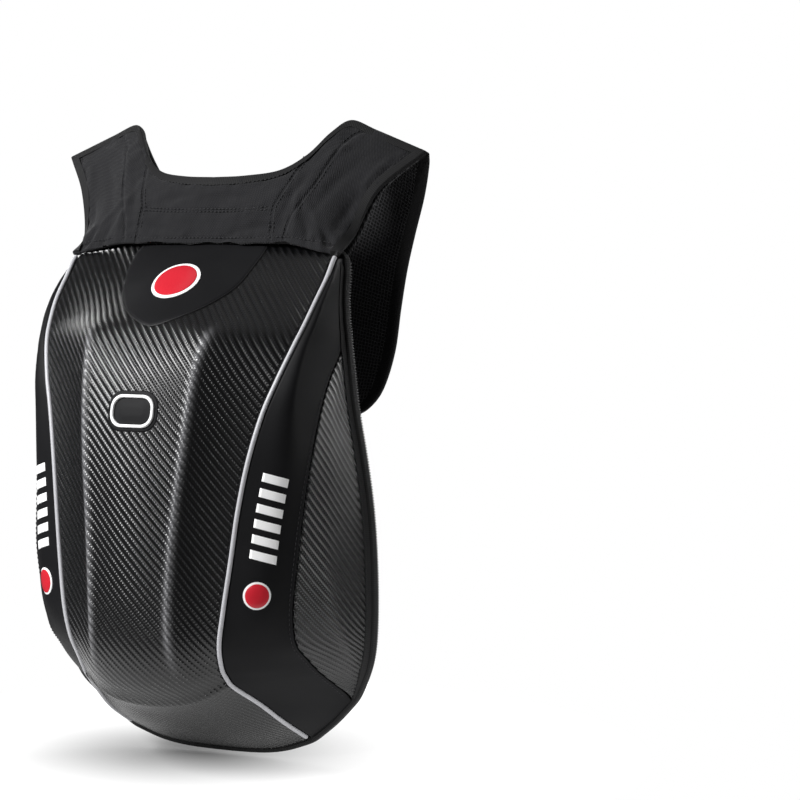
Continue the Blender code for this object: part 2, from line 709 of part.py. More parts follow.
def strap_point(across, back, drop):
    crest = HEM_UP * SHELL_HEIGHT + HARNESS_RISE
    return Vector((across * HALF_WIDTH, RIM_Y + back * STRAP_REACH, crest - drop * STRAP_LENGTH))


def strap_frame(position):
    """Middle of the strap, its direction across, its facing away from the pack, and its width and depth."""
    inner, outer, depth = strap_edges(position)
    step = 0.05
    first, second = max(position - step, 0), min(position + step, len(STRAP_ROWS))
    along = sum(strap_edges(second)[:2], Vector()) - sum(strap_edges(first)[:2], Vector())
    across = outer - inner
    facing = across.cross(along).normalized()
    return inner.lerp(outer, 0.5), across.normalized(), facing, across.length, depth * STRAP_THICKNESS


def make_strap_pad(side_name, side, finish):
    outer_face, inner_face = [], []
    for position in steps(0, len(STRAP_ROWS), ROW_STEP):
        middle, across, facing, width, depth = strap_frame(position)
        front, back = [], []
        for share, fullness in STRAP_SECTION:
            centre = middle + across * share * width
            back.append(centre + facing * depth / 2 * fullness)
            front.append(centre - facing * depth / 2 * fullness)
        outer_face.append(on_side(back, side))
        inner_face.append(on_side(front, side))
    return sheet("strap_pad_" + side_name, outer_face, inner_face, finish)


def ribbon(name, frames, width, thickness, finish):
    """A flat strip through frames of (middle, across, facing)."""
    rings = []
    for middle, across, facing in frames:
        side, front = across * width / 2, facing * thickness / 2
        rings.append([middle - side - front, middle + side - front, middle + side + front, middle - side + front])
    return sweep(name, rings, finish)


def flip_frames(frames, side):
    if side > 0:
        return frames
    return [(mirrored(middle), mirrored(across), mirrored(facing)) for middle, across, facing in frames]


def lock_frame():
    """Middle of the ladder lock, hanging just below the strap's end: middle, across, facing, down."""
    middle, across, facing, _, depth = strap_frame(len(STRAP_ROWS))
    down = facing.cross(across).normalized()
    return middle + down * (LOCK_HEIGHT / 2 + LOCK_BAR) + facing * depth * 0.5, across, facing, down


def make_strap_tape(side_name, side, finish):
    frames = []
    for position in steps(TAPE_FIRST_ROW, len(STRAP_ROWS), ROW_STEP):
        middle, across, facing, _, depth = strap_frame(position)
        frames.append((middle + facing * (depth / 2 + GAP + TAPE_THICKNESS / 2), across, facing))
    middle, across, facing, down = lock_frame()
    lift = LOCK_THICKNESS / 2 + GAP + TAPE_THICKNESS / 2
    for distance in (0.5 * LOCK_HEIGHT, 0.5 * LOCK_HEIGHT - LOCK_BAR):
        frames.append((middle - down * distance + facing * lift, across, facing))
    return ribbon("strap_tape_" + side_name, flip_frames(frames, side), TAPE_WIDTH, TAPE_THICKNESS, finish)


def make_ladder_lock(side_name, side, finish):
    middle, across, facing, down = lock_frame()
    xs = (-LOCK_WIDTH / 2, LOCK_BAR - LOCK_WIDTH / 2, LOCK_WIDTH / 2 - LOCK_BAR, LOCK_WIDTH / 2)
    window = (LOCK_HEIGHT - 3 * LOCK_BAR) / 2
    zs = [-LOCK_HEIGHT / 2]
    for span in (LOCK_BAR, window, LOCK_BAR, window, LOCK_BAR):
        zs.append(zs[-1] + span)

    def place(x, z, level):
        point = middle + across * x + down * z + facing * level * LOCK_THICKNESS / 2
        return point if side > 0 else mirrored(point)

    return lattice("ladder_lock_" + side_name, xs, zs, {(1, 1), (1, 3)}, place, finish)


def make_lower_web(side_name, side, finish):
    """From its tail over the lock's middle bar, behind the bottom bar and down to the back panel."""
    middle, across, facing, down = lock_frame()
    lift = LOCK_THICKNESS / 2 + 2 * GAP + TAPE_THICKNESS / 2
    window = (LOCK_HEIGHT - 3 * LOCK_BAR) / 2
    threaded = ((-LOCK_BAR / 2 - 0.6 * window, lift), (LOCK_BAR / 2 + 0.08 * window, lift),
                (LOCK_BAR / 2 + 0.92 * window, -lift), (LOCK_HEIGHT / 2 + LOCK_BAR, -lift))
    line = [middle + down * along + facing * away for along, away in threaded]
    web_y = TAPE_THICKNESS / 2 - PAD_THICKNESS
    sewn = Vector((WEB_ANCHOR[0] * HALF_WIDTH, web_y, WEB_ANCHOR[1] * SHELL_HEIGHT))
    start = sewn + Vector((0, 0, WEB_ANCHOR_LENGTH))
    bowed = line[-1].lerp(start, 0.5) + Vector((0, WEB_BOW, 0))
    bowed.x = start.x
    hanging = [line[-2], line[-1], bowed, start, sewn]
    line += [smooth_line(hanging, position) for position in steps(1.25, 3, 0.25)] + [sewn]
    frames = []
    for index, point in enumerate(line):
        share = min(1, max(0, index - 3) / (len(line) - 6))
        sideways = across.lerp(Vector((1, 0, 0)), share)
        along = line[min(index + 1, len(line) - 1)] - line[max(index - 1, 0)]
        if index in (0, 1):
            along = down
        face = along.cross(sideways).normalized()
        frames.append((point, sideways.normalized(), face))
    return ribbon("lower_web_" + side_name, flip_frames(frames, side), TAPE_WIDTH, TAPE_THICKNESS, finish)


def sternum_frame():
    """Middle of the sternum slider, over the strap's tape: middle, across, facing, down."""
    middle, across, facing, _, depth = strap_frame(STERNUM_ROW)
    lift = depth / 2 + 3 * GAP + TAPE_THICKNESS + SLIDER_THICKNESS / 2
    return middle + facing * lift, across, facing, facing.cross(across).normalized()


def make_sternum_slider(side_name, side, finish):
    middle, across, facing, down = sternum_frame()
    half = TAPE_WIDTH / 2 + SLIDER_BAR
    xs = (-half, SLIDER_BAR - half, half - SLIDER_BAR, half)
    zs = (-SLIDER_HEIGHT / 2, SLIDER_BAR - SLIDER_HEIGHT / 2, SLIDER_HEIGHT / 2 - SLIDER_BAR, SLIDER_HEIGHT / 2)

    def place(x, z, level):
        point = middle + across * x + down * z + facing * level * SLIDER_THICKNESS / 2
        return point if side > 0 else mirrored(point)

    return lattice("sternum_slider_" + side_name, xs, zs, {(1, 1)}, place, finish)


def sternum_line():
    """The sternum webbing's middle line and its end frame: towards the middle of the chest and down."""
    middle, across, facing, down = sternum_frame()
    lift = SLIDER_THICKNESS / 2 + GAP + TAPE_THICKNESS / 2
    start = middle + facing * lift - across * (TAPE_WIDTH / 2 - SLIDER_BAR)
    inwards = Vector((-1, 0, 0))
    line = [start, start - across * SLIDER_BAR * 2]
    for share in steps(1 / 4, 1, 1 / 4):
        line.append(line[1] + inwards * STERNUM_TAPE_LENGTH * share
                    + down * STERNUM_TAPE_LENGTH * 0.35 * share**2)
    return line, (line[-1] - line[-2]).normalized(), facing


def make_sternum_web(side_name, side, finish):
    line, _, facing = sternum_line()
    frames = []
    for index, point in enumerate(line):
        along = line[min(index + 1, len(line) - 1)] - line[max(index - 1, 0)]
        frames.append((point, along.cross(facing).normalized(), facing))
    return ribbon("sternum_web_" + side_name, flip_frames(frames, side), STERNUM_TAPE_WIDTH,
                  TAPE_THICKNESS, finish)


def make_sternum_socket(finish):
    """The socket half: a flat sleeve, open at both ends, on the left web."""
    line, along, facing = sternum_line()
    sideways = along.cross(facing).normalized()
    start = line[-1] + along * GAP
    half, level_half = BUCKLE_WIDTH / 2, BUCKLE_THICKNESS / 2
    xs = (-half, BUCKLE_WALL - half, half - BUCKLE_WALL, half)
    zs = (-level_half, BUCKLE_WALL - level_half, level_half - BUCKLE_WALL, level_half)

    def place(x, z, level):
        return mirrored(start + sideways * x + facing * z + along * BUCKLE_LENGTH * (level + 1) / 2)

    return lattice("sternum_socket", xs, zs, {(1, 1)}, place, finish)


def make_sternum_plug(finish):
    """The plug half: a base and three prongs, on the right web."""
    line, along, facing = sternum_line()
    sideways = along.cross(facing).normalized()
    start = line[-1] + along * GAP
    half = BUCKLE_WIDTH / 2 - BUCKLE_WALL - GAP
    xs = [half * share for share in (-1, -0.6, -0.25, 0.25, 0.6, 1)]
    zs = (0, BUCKLE_LENGTH * 0.35, BUCKLE_LENGTH)
    thickness = BUCKLE_THICKNESS - 2 * BUCKLE_WALL - 2 * GAP

    def place(x, z, level):
        return start + sideways * x + along * z + facing * level * thickness / 2

    return lattice("sternum_plug", xs, zs, {(1, 1), (3, 1)}, place, finish)


def lattice(name, xs, zs, holes, place, finish):
    """A plate of cells with open windows, mapped into place by a function of x, z and face level."""
    def solid(column, row):
        inside = 0 <= column < len(xs) - 1 and 0 <= row < len(zs) - 1
        return inside and (column, row) not in holes

    def make(body):
        verts = {(i, j, level): body.verts.new(place(x, z, level))
                 for i, x in enumerate(xs) for j, z in enumerate(zs) for level in (-1, 1)}
        for column in range(len(xs) - 1):
            for row in range(len(zs) - 1):
                if not solid(column, row):
                    continue
                corners = ((column, row), (column + 1, row), (column + 1, row + 1), (column, row + 1))
                for level in (-1, 1):
                    body.faces.new([verts[(*corner, level)] for corner in corners])
                beside = ((column, row - 1), (column + 1, row), (column, row + 1), (column - 1, row))
                for index, neighbour in enumerate(beside):
                    if not solid(*neighbour):
                        first, second = corners[index], corners[(index + 1) % 4]
                        body.faces.new((verts[(*first, -1)], verts[(*second, -1)],
                                        verts[(*second, 1)], verts[(*first, 1)]))

    return finish_mesh(name, make, finish)


def main():
    clear_scene()
    carbon = material("carbon_panel", (0.02, 0.02, 0.022), 0.35)
    smooth_black = material("smooth_black", (0.015, 0.015, 0.016), 0.55)
    cloth = material("woven_black", (0.02, 0.02, 0.022), 0.85)
    mesh_cloth = material("spacer_mesh", (0.015, 0.015, 0.016), 0.9)
    pale = material("pale_reflective", (0.5, 0.5, 0.52), 0.4)
    tape = material("webbing", (0.015, 0.015, 0.016), 0.8)
    plastic = material("black_plastic", (0.02, 0.02, 0.02), 0.4)

    make_front_shell(carbon)
    make_top_patch(smooth_black)
    make_centre_plate(pale)
    make_rim_binding(tape)
    make_back_wall(cloth)
    make_back_pad(mesh_cloth)
    make_yoke(cloth)
    make_yoke_lining(mesh_cloth)
    make_hang_loop(tape)
    make_sternum_socket(plastic)
    make_sternum_plug(plastic)
    for side_name, side in (("right", 1), ("left", -1)):
        make_side_band(side_name, side, smooth_black)
        make_side_inset(side_name, side, carbon)
        make_piping(side_name, side, pale)
        make_strap_pad(side_name, side, mesh_cloth)
        make_strap_tape(side_name, side, tape)
        make_ladder_lock(side_name, side, plastic)
        make_lower_web(side_name, side, tape)
        make_sternum_slider(side_name, side, plastic)
        make_sternum_web(side_name, side, tape)


main()
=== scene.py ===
"""Looks of the hard shell backpack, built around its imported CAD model.

Metres, in the CAD's frame: +Z up, the shell faces -Y, the wearer is on +Y, and the origin is the centre of
the back pad's face. Tables hold shares of the named sizes; "forward" runs from the rim plane towards -Y.
A row is a place in the shell's table and a column one in the yoke's, and both may be fractions.
"""
import json
from itertools import accumulate
from math import atan, cos, e, exp, pi, radians, sin, tau

import bmesh
import bpy
from mathutils import Matrix, Vector, kdtree, noise
from mathutils.bvhtree import BVHTree

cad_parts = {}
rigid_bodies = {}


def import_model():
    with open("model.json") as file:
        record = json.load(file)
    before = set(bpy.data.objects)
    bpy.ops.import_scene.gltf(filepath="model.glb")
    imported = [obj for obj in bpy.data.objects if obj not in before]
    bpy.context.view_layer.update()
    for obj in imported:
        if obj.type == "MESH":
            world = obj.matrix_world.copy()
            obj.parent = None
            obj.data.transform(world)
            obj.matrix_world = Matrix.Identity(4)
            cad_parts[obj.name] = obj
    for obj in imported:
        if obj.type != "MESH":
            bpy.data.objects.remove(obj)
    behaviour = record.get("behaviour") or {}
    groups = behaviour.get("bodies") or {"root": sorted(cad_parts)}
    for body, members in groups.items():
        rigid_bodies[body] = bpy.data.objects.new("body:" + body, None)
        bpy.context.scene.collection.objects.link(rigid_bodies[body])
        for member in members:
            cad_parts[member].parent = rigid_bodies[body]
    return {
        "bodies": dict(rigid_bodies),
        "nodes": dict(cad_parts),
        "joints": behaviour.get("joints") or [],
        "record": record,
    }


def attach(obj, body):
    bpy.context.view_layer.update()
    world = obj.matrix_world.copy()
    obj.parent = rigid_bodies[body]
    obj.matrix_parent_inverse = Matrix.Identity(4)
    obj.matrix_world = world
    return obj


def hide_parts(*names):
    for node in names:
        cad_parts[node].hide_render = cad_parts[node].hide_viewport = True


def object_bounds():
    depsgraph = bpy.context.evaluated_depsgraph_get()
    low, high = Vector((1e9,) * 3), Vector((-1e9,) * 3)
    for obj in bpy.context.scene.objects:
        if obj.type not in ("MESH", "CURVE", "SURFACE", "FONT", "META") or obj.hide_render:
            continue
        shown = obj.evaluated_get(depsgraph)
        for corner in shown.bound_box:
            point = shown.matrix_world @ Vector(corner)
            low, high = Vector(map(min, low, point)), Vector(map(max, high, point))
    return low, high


# Shell
SHELL_WIDTH = 0.340
SHELL_HEIGHT = 0.480
SHELL_DEPTH = 0.163
SHELL_WALL = 0.0028
SKIN_WALL = SHELL_WALL * 0.9
PIPING_DIAMETER = 0.0042
PIPING_SINK = 0.0006
PIPING_FIRST_ROW = 1.0
PIPING_LAST_ROW = 17.85
SEAM_GAP = 0.0005
GAP = 0.0003
EDGE_ROLL = 0.0022
BAND_ROLL_ROWS = (5.0, 5.8)
ROLL_SHARE = 0.85
RIDGE_RISE = 0.0019
RIDGE_SPREAD = 0.0036
RIDGE_FADE_IN = (4.6, 6.2)
RIDGE_FADE_OUT = (11.2, 13.2)
RIDGE_SHARPNESS = 0.62
# Colour of the painted highlight along the shell's ridges.
RIDGE_HIGHLIGHT_TINT = (0.22, 0.22, 0.23)
FACET_HOLLOW = 0.0022
INSET_PROUD = 0.0020
TAIL_ROW = 14.7
TAIL_RISE = 0.0022
TAIL_SPREAD = 0.32
TAIL_HOLLOW = 0.0020
TAIL_HOLLOW_BEHIND = 0.95
TAIL_HOLLOW_SPREAD = 0.55
DRAPE_DEPTH = 0.6

# Rim binding, gusset and back
RIM_WIDTH = 0.010
RIM_THICKNESS = 0.0075
RIM_OVERHANG = 0.0040
RIM_SIDES = 20
RIM_POINTS = 520
RIM_SQUARENESS = 0.55
RIM_CREASE, RIM_CREASE_PLACE, RIM_CREASE_SPREAD = 0.10, -0.45, 0.16
LIP_WIDTH = 0.0075
LIP_RISE = 0.0010
LIP_SINK = 0.0006
LIP_CREASE, LIP_CREASE_SHARE, LIP_CREASE_SPREAD = 0.00045, 0.70, 0.07
LIP_TAPER_ROWS = (13.5, 17.4)
LIP_SHARES = (0.0, 0.1, 0.3, 0.5, 0.62, 0.70, 0.78, 0.9, 0.97, 1.0)
GUSSET_OVERHANG = 0.0020
GUSSET_TAPER = 0.020
GUSSET_DEPTH = 0.032
GUSSET_BULGE = 0.0020
GUSSET_WAVE = 0.0004
GUSSET_SHARES = (0.0, 0.15, 0.3, 0.45, 0.6, 0.75, 0.88, 0.95, 1.0)
BACK_SHRINKS = (0.985, 0.95, 0.8, 0.5, 0.2)
BACK_POINTS = 360
CLOTH_WALL = 0.0025
PAD_THICKNESS = 0.012
PAD_WIDTH = 0.200
PAD_HEIGHT = 0.390
PAD_CORNER = 0.060
PAD_EDGE = 0.014
PAD_CHANNELS = (-0.027, 0.027)
PAD_SEAMS = (-0.095, 0.0, 0.095)
CHANNEL_DEPTH = 0.0065
CHANNEL_SPREAD = 0.0035
PAD_SEAM_DEPTH = 0.0060
PAD_TAPE_RADIUS = 0.0026
ZIP_PITCH = 0.0026
ZIP_WIDTH = 0.0052
ZIP_RISE = 0.0006
ZIP_BEHIND_RIM = 0.0035
ZIP_TUCK = 0.013
ZIP_TOOTH_SHARE = 0.34

# Panels and marks on the shell; each profile is a list of (share of the radius or inset, lift).
PATCH_WIDTH = 0.136
PATCH_RISE = 0.0011
PATCH_EDGE = 0.0020
PATCH_LIFT = 0.0004
PATCH_LINE_LIFT = 0.0005
PATCH_LINE_RADIUS = 0.0006
PLATE_WIDTH = 0.0435
PLATE_HEIGHT = 0.0290
PLATE_LINE = 0.0028
PLATE_CENTRE_UP = 0.171
PLATE_BASE = ((-0.0040, -0.0004), (-0.0034, 0.0004), (-0.0022, 0.0006), (0.0, 0.0004),
              (PLATE_LINE * 1.4, 0.0003), (0.009, 0.0009), (0.012, 0.0010))
PLATE_RIM = ((0.0, -0.0002), (0.0001, 0.0021), (0.0006, 0.0026), (PLATE_LINE - 0.0006, 0.0026),
             (PLATE_LINE - 0.0001, 0.0021), (PLATE_LINE, -0.0002))
BADGE_RADIUS = 0.0190
BADGE_STRETCH = 1.22
BADGE_CENTRE_UP = 0.411
BADGE_RING = ((1.0, -0.0002), (1.0, 0.0007), (0.95, 0.0010), (0.86, 0.0010), (0.5, 0.0006))
BADGE_DISC = ((0.86, 0.0004), (0.86, 0.0014), (0.80, 0.0018), (0.45, 0.0022))
MARK_RADIUS = 0.0125
MARK_ROW = 10.62
MARK_SHARE = 0.44
MARK_RING = ((1.0, -0.0004), (1.0, 0.0008), (0.94, 0.0010), (0.8, 0.0010))
MARK_DISC = ((0.86, 0.0004), (0.86, 0.0014), (0.78, 0.0018), (0.3, 0.0020))
BAR_COUNT = 6
BAR_FIRST_ROW = 8.30
BAR_PITCH_ROWS = 0.30
BAR_HIGH_ROWS = 0.17
BAR_SLANT_ROWS = 0.14
BAR_START_SHARE = 0.26
BAR_WIDE_SHARE = 0.40
BAR_LIFT = 0.0005

# Harness
HARNESS_RISE = 0.117
STRAP_REACH = 0.100
STRAP_LENGTH = 0.280
YOKE_THICKNESS = 0.0040
YOKE_FACING = Vector((0, -1, 0.25)).normalized()
LINING_THICKNESS = 0.0030
STRAP_THICKNESS = 0.0090
TAPE_WIDTH = 0.025
TAPE_THICKNESS = 0.0015
LOCK_HEIGHT = 0.040
LOCK_THICKNESS = 0.0045
LOCK_BAR = 0.005
WEB_ANCHOR_LENGTH = 0.022
WEB_BOW = 0.012
SLIDER_THICKNESS = 0.004
SLIDER_BAR = 0.004
STERNUM_TAPE_WIDTH = 0.020
STERNUM_TAPE_LENGTH = 0.046
RIBBON_SECTION = ((-1.0, 0.0), (-0.97, 0.85), (-0.85, 1.0), (-0.45, 0.88), (0.0, 0.92), (0.45, 0.88),
                  (0.85, 1.0), (0.97, 0.85), (1.0, 0.0), (0.97, -0.85), (0.85, -1.0), (0.0, -0.92),
                  (-0.85, -1.0), (-0.97, -0.85))
LOOP_WIDTH = 0.016
LOOP_DROP = 0.018
LINING_DROP = 0.010
LINING_TUCK = 0.15
BINDING_WIDTH = 0.0085
BINDING_DEPTH = 0.0072
BINDING_RISE = 0.0007
BINDING_WRAP = 0.0012
SEAM_DROP = 0.0013
SEAM_SPREAD = 0.0013
STITCH_DROP = 0.0006
STITCH_SPREAD = 0.0011
PUCKER_DEPTH = 0.0013
PUCKER_REACH = 0.010
PUCKER_SCALE = 120
CLOTH_WAVE = 0.00156
CLOTH_WAVE_SCALE = 30
STRAP_WAVE = 0.0007
STRAP_WAVE_SCALE = 45
LINING_WAVE = 0.0009
STITCH_LENGTH = 0.0028
STITCH_SPACING = 0.0040
STITCH_RADIUS = 0.00042
STITCH_SIDES = 5
STITCH_SECTIONS = ((-0.5, 0.35, -0.6), (-0.3, 1.0, 0.3), (0.3, 1.0, 0.3), (0.5, 0.35, -0.6))
SEAM_STITCH_SHIFT = 0.0022
BAND_STITCH_SPACING = 0.0046
BAND_STITCH_INSET = 0.0042

# Studio
WORLD_LIGHT = 0.07
FLOOR_RADIUS = 0.40
# The floor's painted shadow: how much it dims the glow, its spread and its centre.
FLOOR_SHADE = 0.95
FLOOR_SHADOW_SPREAD = 0.150
FLOOR_SHADOW_CENTRE = (-0.055, -0.025)

HALF_WIDTH = SHELL_WIDTH / 2
RIM_FORWARD = 0.074
RIM_Y = -(PAD_THICKNESS + GAP + GUSSET_DEPTH)
BACK_Y = -(PAD_THICKNESS + GAP)

# Camera: the photograph's viewing angle, its distance, and where the rim's middle falls in the picture.
CAMERA_AZIMUTH = radians(29.0)
CAMERA_ELEVATION = radians(5.3)
CAMERA_DISTANCE = 2.2
PICTURE_SIZE = 800
FOCAL_PIXELS = 2316
TARGET_PIXEL = (215, 490)

# The three guide lines of the front shell, top to bottom. across: share of half the width, fwd: share of the
# depth, up: share of the height from its middle; soft: how far the ridge is rounded into its two facets.
FRONT_ROWS = (
    # name, centre fwd, up, ridge across, fwd, up, piping across, fwd, up, soft
    ("under_hem", 0.058, 0.492, 0.400, 0.062, 0.489, 0.800, 0.071, 0.463, 0.50),
    ("hem", 0.160, 0.476, 0.406, 0.150, 0.474, 0.811, 0.160, 0.459, 0.50),
    ("brow", 0.325, 0.446, 0.406, 0.275, 0.442, 0.811, 0.265, 0.418, 0.50),
    ("forehead", 0.490, 0.408, 0.394, 0.400, 0.400, 0.803, 0.383, 0.375, 0.50),
    ("temple", 0.632, 0.366, 0.380, 0.575, 0.360, 0.785, 0.476, 0.333, 0.46),
    ("shoulder", 0.755, 0.320, 0.356, 0.755, 0.320, 0.758, 0.556, 0.292, 0.34),
    ("upper", 0.862, 0.254, 0.332, 0.846, 0.258, 0.703, 0.641, 0.229, 0.20),
    ("plate", 0.933, 0.171, 0.312, 0.900, 0.169, 0.647, 0.699, 0.167, 0.16),
    ("chest", 0.972, 0.083, 0.291, 0.929, 0.083, 0.594, 0.752, 0.083, 0.15),
    ("middle", 0.994, -0.010, 0.265, 0.948, -0.010, 0.553, 0.788, -0.010, 0.15),
    ("waist", 1.006, -0.104, 0.244, 0.963, -0.104, 0.521, 0.807, -0.104, 0.17),
    ("low", 1.009, -0.198, 0.232, 0.969, -0.198, 0.485, 0.822, -0.198, 0.24),
    ("hip", 0.988, -0.271, 0.235, 0.951, -0.267, 0.456, 0.807, -0.258, 0.34),
    ("heel", 0.920, -0.333, 0.250, 0.880, -0.325, 0.437, 0.742, -0.304, 0.46),
    ("tail", 0.800, -0.371, 0.262, 0.785, -0.360, 0.440, 0.690, -0.327, 0.48),
    ("crease", 0.675, -0.397, 0.276, 0.680, -0.384, 0.452, 0.630, -0.346, 0.48),
    ("under", 0.430, -0.436, 0.300, 0.440, -0.422, 0.505, 0.430, -0.387, 0.48),
    ("sole", 0.150, -0.482, 0.330, 0.160, -0.470, 0.544, 0.210, -0.434, 0.48),
    ("rim", -0.120, -0.519, 0.340, -0.105, -0.514, 0.563, -0.080, -0.484, 0.48),
)

# The side band, at the same rows as the front shell: the line where it bulges most, and its outer edge.
BAND_ROWS = (
    # name, bulge across, fwd, up, edge across, fwd, up
    ("under_hem", 0.816, 0.074, 0.456, 0.819, 0.077, 0.447),
    ("hem", 0.828, 0.155, 0.445, 0.822, 0.081, 0.432),
    ("brow", 0.843, 0.268, 0.414, 0.816, 0.081, 0.406),
    ("forehead", 0.845, 0.385, 0.372, 0.813, 0.078, 0.370),
    ("temple", 0.838, 0.470, 0.330, 0.818, 0.075, 0.332),
    ("shoulder", 0.820, 0.540, 0.290, 0.828, 0.086, 0.293),
    ("upper", 0.800, 0.605, 0.227, 0.834, 0.270, 0.227),
    ("plate", 0.782, 0.630, 0.167, 0.844, 0.400, 0.167),
    ("chest", 0.758, 0.655, 0.083, 0.842, 0.500, 0.083),
    ("middle", 0.722, 0.690, -0.010, 0.824, 0.552, -0.010),
    ("waist", 0.690, 0.720, -0.104, 0.806, 0.585, -0.104),
    ("low", 0.650, 0.725, -0.198, 0.773, 0.570, -0.198),
    ("hip", 0.615, 0.680, -0.260, 0.765, 0.515, -0.262),
    ("heel", 0.610, 0.595, -0.304, 0.778, 0.395, -0.298),
    ("tail", 0.618, 0.520, -0.326, 0.792, 0.295, -0.324),
    ("crease", 0.632, 0.430, -0.346, 0.804, 0.210, -0.342),
    ("under", 0.665, 0.265, -0.377, 0.819, 0.115, -0.361),
    ("sole", 0.702, 0.090, -0.409, 0.836, 0.035, -0.378),
    ("rim", 0.714, -0.052, -0.441, 0.848, -0.018, -0.394),
)

# The side inset: its seam with the band is the band's outer edge; here its crease and its rim edge follow.
INSET_ROWS = (
    # band row, crease across, fwd, up, rim across, fwd, up
    (5.0, 0.829, 0.080, 0.2925, 0.831, 0.074, 0.292),
    (6.0, 0.845, 0.190, 0.229, 0.853, 0.074, 0.227),
    (7.0, 0.860, 0.275, 0.167, 0.876, 0.074, 0.165),
    (8.0, 0.880, 0.340, 0.083, 0.920, 0.074, 0.083),
    (9.0, 0.884, 0.380, -0.010, 0.962, 0.074, -0.010),
    (10.0, 0.892, 0.400, -0.102, 0.982, 0.068, -0.098),
    (11.0, 0.900, 0.375, -0.190, 0.989, 0.062, -0.185),
    (12.0, 0.910, 0.300, -0.248, 0.982, 0.048, -0.246),
    (13.0, 0.915, 0.205, -0.290, 0.968, 0.032, -0.290),
    (14.0, 0.900, 0.135, -0.321, 0.948, 0.020, -0.322),
    (15.0, 0.885, 0.080, -0.344, 0.925, 0.010, -0.343),
    (16.0, 0.868, 0.035, -0.364, 0.895, -0.003, -0.365),
    (17.0, 0.853, 0.012, -0.379, 0.872, -0.011, -0.381),
    (17.6, 0.850, -0.004, -0.388, 0.860, -0.015, -0.389),
)

# The smooth panel on the forehead: the shell's row and the panel's half width as a share of its full one.
PATCH_ROWS = (
    (0.80, 0.970), (1.30, 0.985), (2.00, 0.960), (2.55, 0.915), (3.05, 0.850), (3.50, 0.755), (3.90, 0.640),
    (4.20, 0.515), (4.45, 0.380), (4.64, 0.255), (4.78, 0.140), (4.86, 0.025),
)

# Columns of the yoke from its middle to the arm side. across and fwd as on the shell, back: share of the
# strap's reach, rise: share of the harness rise above the shell's hem.
HEM_UP = 0.4854
YOKE_COLUMNS = (
    # name, hem across, fwd, rise, low across, fwd, back, rise,
    # high across, back, rise, top across, back, rise
    ("centre", 0.000, 0.160, 0.00, 0.000, 0.115, 0.00, 0.25, 0.000, -0.12, 0.38, 0.000, -0.05, 0.520),
    ("panel", 0.210, 0.162, 0.00, 0.204, 0.115, 0.00, 0.25, 0.197, -0.11, 0.39, 0.190, -0.02, 0.532),
    ("seam", 0.418, 0.164, 0.00, 0.405, 0.105, 0.00, 0.27, 0.390, -0.07, 0.43, 0.375, 0.08, 0.578),
    ("collar", 0.530, 0.165, 0.00, 0.520, 0.085, 0.00, 0.28, 0.512, 0.03, 0.50, 0.505, 0.21, 0.705),
    ("shoulder", 0.635, 0.166, -0.03, 0.625, 0.060, 0.00, 0.28, 0.618, 0.14, 0.60, 0.600, 0.37, 0.885),
    ("crest", 0.700, 0.166, -0.05, 0.700, 0.045, 0.00, 0.26, 0.700, 0.19, 0.60, 0.687, 0.50, 0.986),
    ("inner", 0.745, 0.166, -0.06, 0.752, 0.030, 0.00, 0.22, 0.780, 0.205, 0.56, 0.830, 0.51, 0.908),
    ("outer", 0.790, 0.166, -0.07, 0.802, 0.015, 0.00, 0.15, 0.860, 0.205, 0.50, 0.980, 0.515, 0.820),
    ("arm", 0.826, 0.160, -0.075, 0.846, 0.020, 0.03, 0.06, 0.932, 0.19, 0.43, 1.124, 0.515, 0.735),
)
CREST_COLUMN = 5

# Sewn lines of the yoke, as (column, row) points on its grid of guide lines; rows run 0 to 3 from the hem up.
YOKE_SEAMS = {
    "panel": ((2.95, 3.0), (2.60, 2.3), (2.20, 1.45), (2.04, 1.0), (2.0, 0.0)),
    "wing": ((5.9, 3.0), (5.0, 2.55), (4.3, 2.1), (3.8, 1.6), (3.3, 1.1), (2.9, 0.6), (2.7, 0.1)),
}
YOKE_STITCHES = {
    "mid_upper": ((0.0, 1.12), (1.0, 1.12), (1.97, 1.10)),
    "mid_lower": ((0.0, 1.00), (1.0, 1.00), (1.98, 0.98)),
    "collar": ((0.0, 2.60), (1.0, 2.62), (2.0, 2.68), (3.0, 2.78), (4.0, 2.86), (5.0, 2.91)),
    "arm": ((7.62, 3.0), (7.58, 2.0), (7.55, 1.0), (7.55, 0.12)),
    "hem": ((0.0, 0.16), (2.0, 0.16), (4.0, 0.18), (6.0, 0.25), (7.5, 0.30)),
}
# Soft folds of the cloth: a point of the grid, the fold's slant in degrees, its length, width and depth.
YOKE_FOLDS = (
    ((5.3, 0.45), -50, 0.026, 0.0042, 0.0030), ((4.7, 0.55), -62, 0.022, 0.0036, -0.0022),
    ((6.1, 0.55), -38, 0.020, 0.0040, -0.0020), ((3.9, 0.40), -70, 0.016, 0.0034, 0.0018),
    ((3.2, 0.90), -80, 0.024, 0.0036, -0.0016), ((3.0, 1.70), 65, 0.024, 0.0045, 0.0022),
    ((3.8, 2.10), 52, 0.026, 0.0050, -0.0020), ((5.0, 1.60), 58, 0.030, 0.0060, 0.0018),
    ((6.7, 1.20), 70, 0.026, 0.0045, 0.0018), ((7.2, 2.10), 62, 0.022, 0.0045, -0.0016),
    ((1.4, 0.45), 12, 0.026, 0.0040, 0.0014), ((1.0, 1.90), -10, 0.028, 0.0050, 0.0014),
    ((0.3, 2.20), 6, 0.030, 0.0040, -0.0010), ((6.9, 0.30), -20, 0.014, 0.0036, 0.0018),
)

